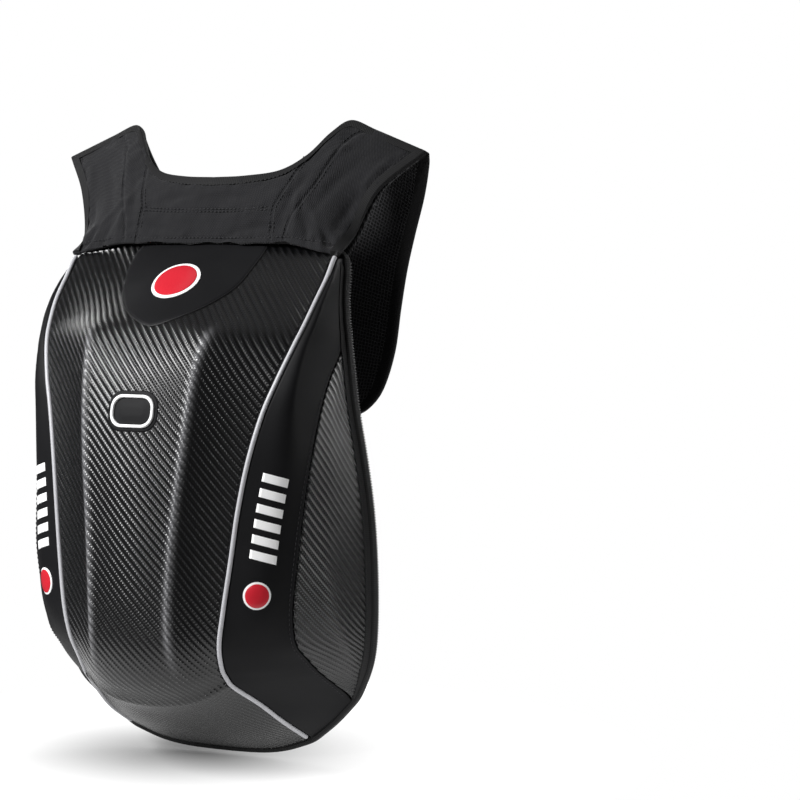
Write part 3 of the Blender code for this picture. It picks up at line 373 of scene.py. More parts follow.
# The shoulder strap below the crest: its two edges. across: share of half the width, back: share of the
# strap's reach, drop: share of its length below the crest's inner end; depth: share of its full thickness.
CREST_DEPTH = 0.50
STRAP_ROWS = (
    # name, inner across, back, drop, outer across, back, drop, depth
    ("roll", 0.705, 0.690, 0.035, 1.100, 0.690, 0.160, 0.70),
    ("back", 0.695, 0.850, 0.120, 1.030, 0.850, 0.260, 0.95),
    ("chest", 0.605, 0.950, 0.250, 0.955, 0.930, 0.385, 1.00),
    ("upper", 0.515, 1.000, 0.400, 0.900, 0.970, 0.500, 1.00),
    ("middle", 0.465, 1.000, 0.560, 0.868, 0.955, 0.630, 1.00),
    ("lower", 0.450, 0.940, 0.730, 0.856, 0.865, 0.780, 1.00),
    ("foot", 0.460, 0.830, 0.900, 0.820, 0.740, 0.905, 0.95),
    ("toe", 0.490, 0.760, 0.975, 0.750, 0.680, 0.970, 0.80),
    ("end", 0.530, 0.720, 1.003, 0.660, 0.660, 1.000, 0.60),
)
STERNUM_ROW = 4.6
TAPE_FIRST_ROW = 2.0
WEB_ANCHOR = (0.705, -0.345)

FRONT_LAST = len(FRONT_ROWS) - 1
INSET_LAST = len(INSET_ROWS) - 1
YOKE_LAST = len(YOKE_COLUMNS) - 1
STRAP_LAST = len(STRAP_ROWS)
ROW_FINE = 0.1
EDGE_STEPS = (0.0060, 0.0040, 0.0028, 0.0021, 0.0015, 0.0010, 0.0006, 0.0003, 0.0001, 0.0)
SIDES = (("right", 1), ("left", -1))


# Curves and guides

def at_shell(across, forward, up):
    return Vector((across * HALF_WIDTH, RIM_Y - forward * SHELL_DEPTH, up * SHELL_HEIGHT))


def at_harness(across, forward, back, rise):
    y = RIM_Y - forward * SHELL_DEPTH + back * STRAP_REACH
    return Vector((across * HALF_WIDTH, y, HEM_UP * SHELL_HEIGHT + rise * HARNESS_RISE))


def mirrored(point):
    return Vector((-point.x, point.y, point.z))


def on_side(points, side):
    return points if side > 0 else [mirrored(point) for point in points]


def both_sides(line):
    return [line, on_side(line, -1)]


def smooth_line(points, position):
    """Place at a fractional index of a smooth curve through points or numbers."""
    last = len(points) - 1
    index = min(int(position), last - 1)
    t = position - index
    before = points[index - 1] if index > 0 else points[0] * 2 - points[1]
    start, end = points[index], points[index + 1]
    after = points[index + 2] if index + 2 <= last else points[last] * 2 - points[last - 1]
    return 0.5 * (
        start * 2 + (end - before) * t + (before * 2 - start * 5 + end * 4 - after) * t**2
        + (start * 3 - before - end * 3 + after) * t**3
    )


def steps(start, end, step):
    count = round((end - start) / step)
    return [start + (end - start) * index / count for index in range(count + 1)]


def smoothstep(low, high, value):
    t = min(max((value - low) / (high - low), 0.0), 1.0)
    return t * t * (3 - 2 * t)


def bell(offset, spread):
    return exp(-(offset / spread) ** 2)


def running_length(points):
    return list(accumulate(((end - start).length for start, end in zip(points, points[1:])), initial=0.0))


def way_along(line, index, closed=False):
    """The way from the point before to the point after one on a line."""
    if closed:
        return line[(index + 1) % len(line)] - line[index - 1]
    return line[min(index + 1, len(line) - 1)] - line[max(index - 1, 0)]


def at_lengths(points, targets):
    """Points of a line at given distances from its start."""
    lengths = running_length(points)
    made = []
    place = 1
    for target in targets:
        target = min(max(target, 0.0), lengths[-1])
        while place < len(lengths) - 1 and lengths[place] < target:
            place += 1
        span = max(lengths[place] - lengths[place - 1], 1e-9)
        made.append(points[place - 1].lerp(points[place], (target - lengths[place - 1]) / span))
    return made


def evenly(points, count):
    total = running_length(points)[-1]
    return at_lengths(points, [total * index / (count - 1) for index in range(count)])


def bend(before, corner, after, t):
    return before * (1 - t) ** 2 + corner * 2 * t * (1 - t) + after * t**2


def glide(start, end, leaving, arriving, t):
    """A smooth step between two points with a direction at each."""
    return start.lerp(end, t * t * (3 - 2 * t)) + leaving * t * (1 - t) ** 2 - arriving * t * t * (1 - t)


def corner_line(guides, count=24):
    """A line through three guides, rounded at the middle one."""
    start, corner, end = guides
    first, second = corner - start, end - corner
    turn = (first.normalized() + second.normalized()).normalized() * min(first.length, second.length)
    line = [glide(start, corner, first, turn, k / count) for k in range(count)]
    return line + [glide(corner, end, turn, second, k / count) for k in range(count + 1)]


def folded_line(guides, soft=0.22, count=24):
    """A line through three guides, straight on both sides of a small rounding at the middle one."""
    start, corner, end = guides
    line = [start.lerp(corner, k * (1 - soft) / count) for k in range(count)]
    line += [bend(corner.lerp(start, soft), corner, corner.lerp(end, soft), k / 8) for k in range(8)]
    return line + [corner.lerp(end, soft + (1 - soft) * k / count) for k in range(count + 1)]


def guide_line(table, first):
    """A guide from the across, forward and up columns of a table."""
    return [at_shell(*row[first:first + 3]) for row in table]


FRONT_CENTRE = [at_shell(0, *row[1:3]) for row in FRONT_ROWS]
FRONT_RIDGE, FRONT_PIPING = guide_line(FRONT_ROWS, 3), guide_line(FRONT_ROWS, 6)
FRONT_SOFT = [row[9] * RIDGE_SHARPNESS if row[9] < 0.45 else row[9] for row in FRONT_ROWS]
BAND_BULGE, BAND_EDGE = guide_line(BAND_ROWS, 1), guide_line(BAND_ROWS, 4)
INSET_CREASE, INSET_RIM = guide_line(INSET_ROWS, 1), guide_line(INSET_ROWS, 4)
INSET_BAND_ROWS = [row[0] for row in INSET_ROWS]


def front_guides(row):
    """Centre, ridge and piping of the shell at a row, and how far the ridge is rounded."""
    return [smooth_line(guide, row) for guide in (FRONT_CENTRE, FRONT_RIDGE, FRONT_PIPING, FRONT_SOFT)]


def band_guides(row):
    return [smooth_line(guide, row) for guide in (FRONT_PIPING, BAND_BULGE, BAND_EDGE)]


def inset_guides(index):
    row = smooth_line(INSET_BAND_ROWS, index)
    proud = INSET_PROUD * sin(pi * min(index / INSET_LAST, 1.0)) ** 0.6
    return [smooth_line(BAND_EDGE, row), inward(smooth_line(INSET_CREASE, index), -proud),
            smooth_line(INSET_RIM, index)]


def inward(point, distance):
    """The point moved into the pack, the same way for every panel."""
    forward = (RIM_Y - point.y) / SHELL_DEPTH
    core = at_shell(point.x / HALF_WIDTH * 0.35, min(forward, RIM_FORWARD), point.z / SHELL_HEIGHT * 0.55)
    return point + (core - point).normalized() * distance


def front_on_guides(guides, reach):
    """Point of the shell's outer face; reach is 0 at the middle, 1 at the ridge and 2 at the piping."""
    centre, ridge, piping, soft = guides
    if reach < 0.5:
        return bend(centre.lerp(mirrored(ridge), 0.5), centre, centre.lerp(ridge, 0.5), reach + 0.5)
    if abs(reach - 1) < soft:
        share = (reach - 1 + soft) / (2 * soft)
        return bend(ridge.lerp(centre, soft), ridge, ridge.lerp(piping, soft), share)
    return centre.lerp(ridge, reach) if reach < 1 else ridge.lerp(piping, reach - 1)


def front_point(row, reach, guides=None):
    """The shell's outer face with its proud ridge lines, hollow side facets and creased tail."""
    guides = guides or front_guides(row)
    point = front_on_guides(guides, reach)
    weight = smoothstep(*RIDGE_FADE_IN, row) * (1 - smoothstep(*RIDGE_FADE_OUT, row))
    if weight > 0:
        centre, ridge, piping, _ = guides
        span = (piping - ridge if reach > 1 else ridge - centre).length
        lift = RIDGE_RISE * bell((reach - 1) * span, RIDGE_SPREAD)
        if reach > 1:
            lift -= FACET_HOLLOW * sin(pi * min(reach - 1, 1.0))
        point = inward(point, -lift * weight)
    edge = row - TAIL_ROW
    behind = edge - TAIL_HOLLOW_BEHIND
    if edge > -3.5 * TAIL_SPREAD and behind < 3 * TAIL_HOLLOW_SPREAD:
        dent = TAIL_HOLLOW * bell(behind, TAIL_HOLLOW_SPREAD) - TAIL_RISE * bell(edge, TAIL_SPREAD)
        point = inward(point, dent)
    return point


def piping_trim(row, line):
    """How far a panel stops short of the piping's middle, measured along its own line."""
    before, after = max(row - 0.1, 0), min(row + 0.1, FRONT_LAST)
    along = smooth_line(FRONT_PIPING, after) - smooth_line(FRONT_PIPING, before)
    point = smooth_line(FRONT_PIPING, row)
    beside = along.cross(point - inward(point, SHELL_WALL)).normalized()
    return (PIPING_DIAMETER / 2 + SEAM_GAP / 2) / abs(beside.dot(line.normalized()))


def roll_depth(distance):
    """How far a panel's edge rolls in, a distance from the edge."""
    if distance >= EDGE_ROLL:
        return 0.0
    share = 1 - distance / EDGE_ROLL
    return EDGE_ROLL * (1 - (1 - share * share) ** 0.5) * ROLL_SHARE


# Meshes

def placed(mesh, finish, sharp_degrees=None):
    """An object for a mesh, shaded smooth but for its sharp edges."""
    mesh.materials.append(finish)
    mesh.shade_smooth()
    if sharp_degrees:
        mesh.set_sharp_from_angle(angle=radians(sharp_degrees))
    made = bpy.data.objects.new(mesh.name, mesh)
    bpy.context.scene.collection.objects.link(made)
    return made


def add_object(name, verts, faces, finish, uvs=None, sharp_degrees=None):
    mesh = bpy.data.meshes.new(name)
    mesh.from_pydata([tuple(vert) for vert in verts], [], faces)
    if uvs is not None:
        layer = mesh.uv_layers.new(name="UVMap")
        for loop in mesh.loops:
            layer.data[loop.index].uv = uvs[loop.vertex_index]
    body = bmesh.new()
    body.from_mesh(mesh)
    bmesh.ops.recalc_face_normals(body, faces=body.faces)
    body.to_mesh(mesh)
    body.free()
    return placed(mesh, finish, sharp_degrees)


def grid_faces(rows, columns, first, closed_columns=False, closed_rows=False):
    faces = []
    for row in range(rows if closed_rows else rows - 1):
        for column in range(columns if closed_columns else columns - 1):
            beside, below = (column + 1) % columns, (row + 1) % rows
            faces.append((first + row * columns + column, first + row * columns + beside,
                          first + below * columns + beside, first + below * columns + column))
    return faces


def sheet(name, outer, inner, finish, uv_grid=None):
    """A closed wall between two grids of points of the same size."""
    rows, columns = len(outer), len(outer[0])
    count = rows * columns
    verts = [point for grid in (outer, inner) for row in grid for point in row]
    faces = grid_faces(rows, columns, 0) + grid_faces(rows, columns, count)
    border = list(range(columns)) + [row * columns + columns - 1 for row in range(1, rows)]
    border += [count - column for column in range(2, columns + 1)]
    border += [row * columns for row in range(rows - 2, 0, -1)]
    faces += [(a, b, b + count, a + count) for a, b in zip(border, border[1:] + border[:1])]
    uvs = [pair for row in uv_grid for pair in row] * 2 if uv_grid else None
    return add_object(name, verts, faces, finish, uvs)


def sweep(name, rings, finish, closed=False):
    """A solid through rings of points, with flat ends where it is open."""
    count = len(rings[0])
    verts = [point for ring in rings for point in ring]
    faces = grid_faces(len(rings), count, 0, True, closed)
    if not closed:
        faces += [tuple(range(count)), tuple(range(len(verts) - count, len(verts)))]
    around = running_length(rings[0])
    along = running_length([sum(ring, Vector()) / count for ring in rings])
    return add_object(name, verts, faces, finish, [(u, v) for v in along for u in around], sharp_degrees=50)


def tube(name, line, radius, finish, sides, facing=None):
    """A round cord along a line, which is a closed loop where a facing is given."""
    rings = []
    for index, point in enumerate(line):
        along = way_along(line, index, facing is not None).normalized()
        up = facing or point - inward(point, radius)
        up = (up - along * up.dot(along)).normalized()
        beside = along.cross(up)
        rings.append([point + up * y + beside * x for y, x in circle(radius, sides)])
    return sweep(name, rings, finish, facing is not None)


def circle(radius, count):
    return [(radius * cos(tau * k / count), radius * sin(tau * k / count)) for k in range(count)]


def measured_grid(grid):
    """Texture places of a grid in metres: along its rows from the middle, and down its middle column."""
    middle = len(grid[0]) // 2
    made = []
    for row, place in zip(grid, running_length([row[middle] for row in grid])):
        across = running_length(row)
        made.append([(value - across[middle], -place) for value in across])
    return made


def draped_grid(grid):
    """Texture places of the moulded shell in metres: along its rows from the middle, down each column."""
    middle = len(grid[0]) // 2
    down = [point.z for point in grid[0]]
    made = []
    for row, above in zip(grid, [grid[0]] + grid):
        drops = [point - high for point, high in zip(row, above)]
        down = [place - (drop.z**2 + (DRAPE_DEPTH * drop.y) ** 2) ** 0.5 for place, drop in zip(down, drops)]
        across = running_length(row)
        made.append([(value - across[middle], place) for value, place in zip(across, down)])
    return made


def grid_normals(grid):
    """The grid's normals, turned towards the wearer."""
    columns = list(zip(*grid))
    made = []
    for row, line in enumerate(grid):
        normals = [way_along(line, column).cross(way_along(columns[column], row)).normalized()
                   for column in range(len(line))]
        made.append([-normal if normal.y < 0 else normal for normal in normals])
    return made


def moved(grid, normals, distance):
    return [[point + normal * distance for point, normal in zip(*rows)] for rows in zip(grid, normals)]


def dress(piece, slot, *replaced):
    """Puts a finished piece on the pack's one body, in place of the CAD nodes that it stands for."""
    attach(piece, "root")
    if replaced:
        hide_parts(*replaced)
    return piece


def stitch_run(verts, faces, line, normals, spacing=STITCH_SPACING):
    """Adds a row of short threads lying on a line to a list of verts and faces."""
    lengths = running_length(line)
    centres = at_lengths(line, [(k + 0.5) * spacing for k in range(int(lengths[-1] / spacing))])
    place = 0
    for index, centre in enumerate(centres):
        while place < len(lengths) - 2 and lengths[place + 1] < (index + 0.5) * spacing:
            place += 1
        along = (line[place + 1] - line[place]).normalized()
        up = normals[place].normalized()
        beside = along.cross(up)
        first = len(verts)
        for step, width, lift in STITCH_SECTIONS:
            middle = centre + along * step * STITCH_LENGTH + up * lift * STITCH_RADIUS
            verts += [middle + beside * x + up * y for x, y in circle(STITCH_RADIUS * width, STITCH_SIDES)]
        last = len(verts)
        faces += grid_faces(len(STITCH_SECTIONS), STITCH_SIDES, first, closed_columns=True)
        faces += [tuple(range(first, first + STITCH_SIDES)), tuple(range(last - STITCH_SIDES, last))]


def seam_tree(lines):
    """A finder of the nearest place on some lines."""
    samples = []
    for line in lines:
        samples += evenly(line, int(running_length(line)[-1] / 0.0015) + 1)
    tree = kdtree.KDTree(len(samples))
    for index, sample in enumerate(samples):
        tree.insert(sample, index)
    tree.balance()
    return tree


# Materials

class Value:
    """A worked-out value in a material's graph, with plain arithmetic."""

    def __init__(self, graph, socket):
        self.graph = graph
        self.socket = socket

    def __add__(self, other):
        return self.graph.math("ADD", self, other)

    def __sub__(self, other):
        return self.graph.math("SUBTRACT", self, other)

    def __rsub__(self, other):
        return self.graph.math("SUBTRACT", other, self)

    def __mul__(self, other):
        return self.graph.math("MULTIPLY", self, other)

    def wave(self):
        """A smooth wave from 0 to 1 with a period of 1."""
        return (1.0 - self.graph.math("COSINE", self * tau)) * 0.5


class Graph:
    """A short hand for a material's nodes."""

    def __init__(self, name, roughness, specular):
        self.material = bpy.data.materials.new(name)
        self.material.use_nodes = True
        self.nodes = self.material.node_tree.nodes
        self.links = self.material.node_tree.links
        self.shader = self.nodes["Principled BSDF"].inputs
        self.shader["Roughness"].default_value = roughness
        self.shader["Specular IOR Level"].default_value = specular

    def put(self, socket, value):
        if isinstance(value, Value):
            self.links.new(value.socket, socket)
        else:
            socket.default_value = value

    def math(self, operation, first, second=0.0):
        node = self.nodes.new("ShaderNodeMath")
        node.operation = operation
        self.put(node.inputs[0], first)
        self.put(node.inputs[1], second)
        return Value(self, node.outputs[0])

    def place(self, kind):
        return Value(self, self.nodes.new("ShaderNodeTexCoord").outputs[kind])

    def plane(self, kind="UV"):
        """The first two parts of a place."""
        parts = self.nodes.new("ShaderNodeSeparateXYZ")
        self.put(parts.inputs[0], self.place(kind))
        return Value(self, parts.outputs[0]), Value(self, parts.outputs[1])

    def noise(self, scale, detail):
        node = self.nodes.new("ShaderNodeTexNoise")
        node.inputs["Scale"].default_value = scale
        node.inputs["Detail"].default_value = detail
        self.put(node.inputs["Vector"], self.place("Object"))
        return Value(self, node.outputs["Fac"])

    def blend(self, value, low, high):
        """A colour between two colours."""
        node = self.nodes.new("ShaderNodeMix")
        node.data_type = "RGBA"
        for name, wanted in (("Factor", value), ("A", low), ("B", high)):
            self.put(node.inputs[name], (*wanted, 1.0) if isinstance(wanted, tuple) else wanted)
        return Value(self, node.outputs["Result"])

    def rough(self, value, low, high):
        self.put(self.shader["Roughness"], value * (high - low) + low)

    def finish(self, colour, height, depth):
        """The finished material, with its colour and a bump of a depth in metres."""
        self.put(self.shader["Base Color"], colour)
        node = self.nodes.new("ShaderNodeBump")
        node.inputs["Distance"].default_value = depth
        node.inputs["Strength"].default_value = 1.0
        self.put(node.inputs["Height"], height)
        self.put(self.shader["Normal"], Value(self, node.outputs["Normal"]))
        return self.material


def grey(level, blue):
    return level, level, blue


def carbon_material(name, pitch, depth, bright):
    """Diagonal ribs, each made of fine twill cells, under a satin coat, with a painted highlight: paler along
    the ridges.
    """
    angle, cell = radians(47), 0.0026
    graph = Graph(name, 0.32, 0.48)
    u, v = graph.plane()
    over = u * (sin(angle) / pitch) + v * (cos(angle) / pitch)
    along = u * (cos(angle) / cell) - v * (sin(angle) / cell)
    rib = over.wave()
    cells = (along + graph.math("FLOOR", over * 2.0) * 0.5).wave()
    height = rib * 0.55 + cells * (rib * 0.45)
    # Painted highlight: the ridges' weight, speckled by noise, blends the colour towards a pale grey.
    ridge_shine = graph.nodes.new("ShaderNodeAttribute")
    ridge_shine.attribute_name = "ridge_highlight"
    shine = Value(graph, ridge_shine.outputs["Fac"]) * (graph.noise(420, 2) + 0.35)
    base = graph.blend(graph.math("POWER", height, 1.7), grey(0.0010, 0.0012), bright)
    graph.rough(height, 0.33, 0.21)
    return graph.finish(graph.blend(shine * (height + 0.35), base, RIDGE_HIGHLIGHT_TINT), height, depth)


def grained_material(name, roughness, specular, scale, detail, low, high, depth):
    """A plain finish with a fine grain between two tones."""
    graph = Graph(name, roughness, specular)
    grain = graph.noise(scale, detail)
    return graph.finish(graph.blend(grain, low, high), grain, depth)


def smooth_black_material():
    """Matt black with a fine grain and a slow drift of its tone and gloss."""
    graph = Graph("smooth_black", 0.52, 0.10)
    cloud = graph.noise(22, 3)
    graph.rough(cloud, 0.50, 0.62)
    colour = graph.blend(cloud, grey(0.0055, 0.006), grey(0.009, 0.010))
    return graph.finish(colour, graph.noise(1900, 2), 0.00007)


def plastic_material():
    graph = Graph("black_plastic", 0.42, 0.45)
    grain = graph.noise(2200, 2)
    graph.rough(grain, 0.36, 0.5)
    return graph.finish(graph.blend(grain, grey(0.010, 0.010), grey(0.018, 0.019)), grain, 0.00005)


def woven_material(name, pitch, low, high, depth):
    """Plain weave from crossed threads, with slubs."""
    graph = Graph(name, 0.82, 0.16)
    u, v = graph.plane()
    warp, weft = u * (1 / pitch), v * (1 / pitch)
    weave = (warp + graph.math("FLOOR", weft) * 0.5).wave() * (weft.wave() * 0.6 + 0.4)
    graph.shader["Sheen Weight"].default_value = 0.12
    graph.shader["Sheen Roughness"].default_value = 0.5
    tone = weave * 0.55 + graph.noise(30, 4) * 0.45
    return graph.finish(graph.blend(tone, low, high), weave * 0.75 + graph.noise(320, 3) * 0.5, depth)


def mesh_material():
    """Open spacer mesh: a honeycomb of dark holes between threads."""
    graph = Graph("spacer_mesh", 0.8, 0.2)
    cells = graph.nodes.new("ShaderNodeTexVoronoi")
    cells.feature = "DISTANCE_TO_EDGE"
    cells.voronoi_dimensions = "2D"
    cells.inputs["Scale"].default_value = 300
    cells.inputs["Randomness"].default_value = 0.25
    graph.put(cells.inputs["Vector"], graph.place("UV"))
    thread = 1.0 - graph.math("MINIMUM", Value(graph, cells.outputs["Distance"]) * 4.5, 1.0)
    graph.shader["Sheen Weight"].default_value = 0.1
    return graph.finish(graph.blend(thread, grey(0.005, 0.0055), grey(0.085, 0.090)), thread, 0.0006)


def tape_material(name, low, high):
    """Ribbed tape: fine ribs across its length."""
    graph = Graph(name, 0.75, 0.2)
    u, v = graph.plane()
    height = (v * (1 / 0.0018)).wave() * 0.7 + (u * (1 / 0.0016)).wave() * 0.3
    return graph.finish(graph.blend(height, low, high), height, 0.00025)


def floor_material():
    """Glowing white, with a painted soft shadow below the pack: a grey spot where the glow is dimmed."""
    graph = Graph("studio_floor", 0.9, 0.1)
    x, y = [graph.math("DIVIDE", value - middle, FLOOR_SHADOW_SPREAD)
            for value, middle in zip(graph.plane("Object"), FLOOR_SHADOW_CENTRE)]
    painted_shadow = graph.math("POWER", e, (x * x + y * y) * -1.0)
    graph.shader["Base Color"].default_value = (0.30, 0.30, 0.30, 1.0)
    graph.shader["Emission Color"].default_value = (1.0, 1.0, 1.0, 1.0)
    # Painted shadow: the glow dims by a bell round the spot below the pack.
    graph.put(graph.shader["Emission Strength"], 1.0 - painted_shadow * FLOOR_SHADE)
    return graph.material


# The shell and its panels

def panel_row(line, start_trim, end_trim, count, roll_start=1.0, roll_end=1.0):
    """One row of a panel: points along its line, closer together at the edges that roll in by a share."""
    first, last = start_trim, running_length(line)[-1] - end_trim
    scale = min(1.0, (last - first) / (3 * EDGE_STEPS[0]))
    left = [first + step * scale for step in reversed(EDGE_STEPS)] if roll_start else [first]
    right = [last - step * scale for step in EDGE_STEPS] if roll_end else [last]
    inner = [left[-1] + (right[0] - left[-1]) * k / count for k in range(1, count)]
    places = left + inner + right
    return [inward(point, max(roll_depth(place - first) * roll_start, roll_depth(last - place) * roll_end))
            for point, place in zip(at_lengths(line, places), places)]


def walls(name, outer, finish, uv_grid):
    return sheet(name, outer, [[inward(point, SKIN_WALL) for point in row] for row in outer], finish, uv_grid)


def make_front_shell(finish):
    """The moulded shell, with a painted weight that places a painted highlight along its ridges."""
    grid = []
    for row in steps(0, FRONT_LAST, ROW_FINE):
        guides = front_guides(row)
        half = [front_point(row, reach, guides) for reach in steps(0, 2, 0.04)]
        right = panel_row(half, 0, piping_trim(row, guides[2] - guides[1]), 52, roll_start=0)
        grid.append([mirrored(point) for point in reversed(right[1:])] + right)
    skin = walls("front_shell_skin", grid, finish, draped_grid(grid))
    ridge = [front_point(row, 1.0) for row in steps(RIDGE_FADE_IN[0], RIDGE_FADE_OUT[1], 0.05)]
    ridges = seam_tree(both_sides(ridge))
    # Painted highlight: a weight that falls off with distance from the ridge lines.
    ridge_shine = skin.data.attributes.new("ridge_highlight", "FLOAT", "POINT")
    for index, vert in enumerate(skin.data.vertices):
        top_fade = smoothstep(0, 0.02, abs(vert.co.z - ridge[0].z))
        low_fade = smoothstep(0, 0.05, abs(vert.co.z - ridge[-1].z))
        ridge_shine.data[index].value = top_fade * low_fade * bell(ridges.find(vert.co)[2], RIDGE_SPREAD)
    return dress(skin, "carbon_panel", "front_shell")


def make_side_band(side_name, side, finish):
    grid = []
    for row in steps(0, FRONT_LAST, ROW_FINE):
        guides = band_guides(row)
        roll = smoothstep(*BAND_ROLL_ROWS, row) + 0.001
        trim = piping_trim(row, guides[1] - guides[0])
        line = panel_row(corner_line(guides), trim, SEAM_GAP / 2, 26, roll_end=roll)
        grid.append(on_side(line, side))
    skin = walls("side_band_skin_" + side_name, grid, finish, measured_grid(grid))
    dress(skin, "smooth_black", "side_band_" + side_name)


def make_side_inset(side_name, side, finish):
    grid = [on_side(panel_row(folded_line(inset_guides(index)), SEAM_GAP / 2, 0, 34, roll_end=0), side)
            for index in steps(0, INSET_LAST, ROW_FINE)]
    uv_grid = [[(u * side, v) for u, v in row] for row in measured_grid(grid)]
    skin = walls("side_inset_skin_" + side_name, grid, finish, uv_grid)
    dress(skin, "carbon_panel", "side_inset_" + side_name)


def make_piping(side_name, side, finish):
    rows = steps(PIPING_FIRST_ROW, PIPING_LAST_ROW, ROW_FINE)
    line = on_side([inward(smooth_line(FRONT_PIPING, row), PIPING_SINK) for row in rows], side)
    cord = tube("piping_cord_" + side_name, line, PIPING_DIAMETER / 2, finish, 14)
    dress(cord, "pale_trim", "piping_" + side_name)


def rim_loop(count):
    """Evenly spaced points of the pack's edge, all round and slightly smoothed."""
    half = [front_on_guides(front_guides(0), reach) for reach in steps(0, 2, 0.1)]
    half += corner_line(band_guides(0))
    half += [band_guides(row)[2] for row in steps(0.2, 4.8, 0.2)]
    half += [inset_guides(index)[2] for index in steps(0, INSET_LAST, 0.2)]
    half += corner_line(band_guides(FRONT_LAST))[::-1]
    half += [front_on_guides(front_guides(FRONT_LAST), reach) for reach in steps(2, 0, -0.1)]
    half = evenly(half, count // 2 + 1)
    loop = half + [mirrored(point) for point in reversed(half[1:-1])]
    for _ in range(4):
        loop = [(loop[index - 1] + point * 2 + loop[(index + 1) % len(loop)]) / 4
                for index, point in enumerate(loop)]
    return loop


def outward_in_plane(loop):
    ways = [way_along(loop, index, closed=True) for index in range(len(loop))]
    return [Vector((-way.z, 0, way.x)).normalized() for way in ways]


def make_rim_binding(finish):
    """A folded tape round the edge, with softly rounded corners and a sewn crease on its outer face."""
    section = []
    for across, along in circle(1, RIM_SIDES):
        wide = abs(across) ** RIM_SQUARENESS * (1 if across > 0 else -1)
        deep = abs(along) ** RIM_SQUARENESS * (1 if along > 0 else -1)
        crease = RIM_CREASE * bell(deep - RIM_CREASE_PLACE, RIM_CREASE_SPREAD) if across > 0 else 0
        section.append(((wide - crease) * RIM_THICKNESS / 2, deep * RIM_WIDTH / 2))
    loop = rim_loop(RIM_POINTS)
    rings = []
    for point, out in zip(loop, outward_in_plane(loop)):
        middle = point + out * (RIM_OVERHANG - RIM_THICKNESS / 2) + Vector((0, GAP + RIM_WIDTH / 2, 0))
        rings.append([middle + out * wide + Vector((0, deep, 0)) for wide, deep in section])
    dress(sweep("rim_tape", rings, finish, closed=True), "webbing", "rim_binding")


def make_rim_lip(side_name, side, finish):
    """The binding tape's front leg, laid over the side panels along the rim."""
    lines = [(row, corner_line(band_guides(row))[::-1]) for row in steps(0.6, 4.8, 0.2)]
    for index in steps(0, INSET_LAST, 0.1):
        row = smooth_line(INSET_BAND_ROWS, index)
        lines.append((row, folded_line(inset_guides(index))[::-1] + corner_line(band_guides(row))[::-1]))
    rises = [LIP_RISE - LIP_CREASE * bell(share - LIP_CREASE_SHARE, LIP_CREASE_SPREAD)
             for share in LIP_SHARES[:-1]] + [LIP_RISE * 0.3]
    top, under = [], []
    for row, line in lines:
        width = LIP_WIDTH * (1 - 0.75 * smoothstep(*LIP_TAPER_ROWS, row))
        points = at_lengths(line, [width * share for share in LIP_SHARES])
        top.append(on_side([inward(point, -rise) for point, rise in zip(points, rises)], side))
        under.append(on_side([inward(point, LIP_SINK) for point in points], side))
    dress(sheet("rim_lip_" + side_name, top, under, finish, measured_grid(top)), "webbing")


def back_point(point, inset, y):
    return Vector((point.x * (1 - inset / HALF_WIDTH), y, point.z * (1 - 2 * inset / SHELL_HEIGHT)))


def make_back_wall(finish):
    """The cloth tray behind the shell: its gusset slopes in to the flat back with a rounded turn."""
    loop = rim_loop(BACK_POINTS)
    mouth = [back_point(point, -GUSSET_OVERHANG, point.y + RIM_WIDTH + 2 * GAP) for point in loop]
    back = [back_point(point, GUSSET_TAPER, BACK_Y) for point in loop]
    profile = []
    for share in GUSSET_SHARES:
        ring = []
        for index, (first, second) in enumerate(zip(mouth, back)):
            bulge = (GUSSET_BULGE + GUSSET_WAVE * sin(index * 0.9)) * sin(pi * share)
            point = first.lerp(second, share)
            ring.append(point + Vector((point.x, 0, point.z)).normalized() * bulge)
        profile.append(ring)
    for shrink in BACK_SHRINKS:
        profile.append([Vector((point.x * shrink, BACK_Y, point.z * shrink)) for point in back])
    inner = [[Vector((point.x * 0.985, point.y - CLOTH_WALL * smoothstep(0, 9, index), point.z * 0.988))
              for point in ring] for index, ring in enumerate(profile)]
    dress(sweep("back_cloth", profile[::-1] + inner, finish), "woven_black", "back_wall")


def make_zip(finish):
    """Coil of the closed zip, just behind the rim's tape."""
    loop = rim_loop(RIM_POINTS)
    outs = outward_in_plane(loop)
    total = running_length(loop + [loop[0]])[-1]
    count = int(total / ZIP_PITCH)
    line = at_lengths(loop + [loop[0]], [total * k / count for k in range(count)])
    verts, faces = [], []
    for index, point in enumerate(line):
        out = outs[min(int(index / count * len(loop)), len(loop) - 1)]
        along = way_along(line, index, closed=True).normalized()
        behind = RIM_WIDTH + 2 * GAP + ZIP_BEHIND_RIM
        centre = point + out * (GUSSET_OVERHANG + ZIP_RISE) + Vector((0, behind, 0))
        centre -= Vector((point.x, 0, point.z)) * ZIP_TUCK
        first = len(verts)
        for deep in (-1, 1):
            end = centre + Vector((0, deep * ZIP_WIDTH / 2, 0))
            verts += [end + along * wide * ZIP_PITCH * ZIP_TOOTH_SHARE + out * high * ZIP_RISE
                      for wide, high in ((-1, -1), (1, -1), (0.7, 1), (-0.7, 1))]
        faces += grid_faces(2, 4, first, closed_columns=True)
        faces += [tuple(range(first, first + 4)), tuple(range(first + 4, first + 8))]
    dress(add_object("zip_coil", verts, faces, finish), "black_plastic")


def patch_half_width(row):
    """Half the forehead panel's width at a row of the shell."""
    rows, widths = zip(*PATCH_ROWS)
    index = len(rows) - 1
    if row < rows[-1]:
        above = max(k for k in range(index) if k == 0 or rows[k] < row)
        index = above + (row - rows[above]) / (rows[above + 1] - rows[above])
    return smooth_line(widths, index) * PATCH_WIDTH / 2


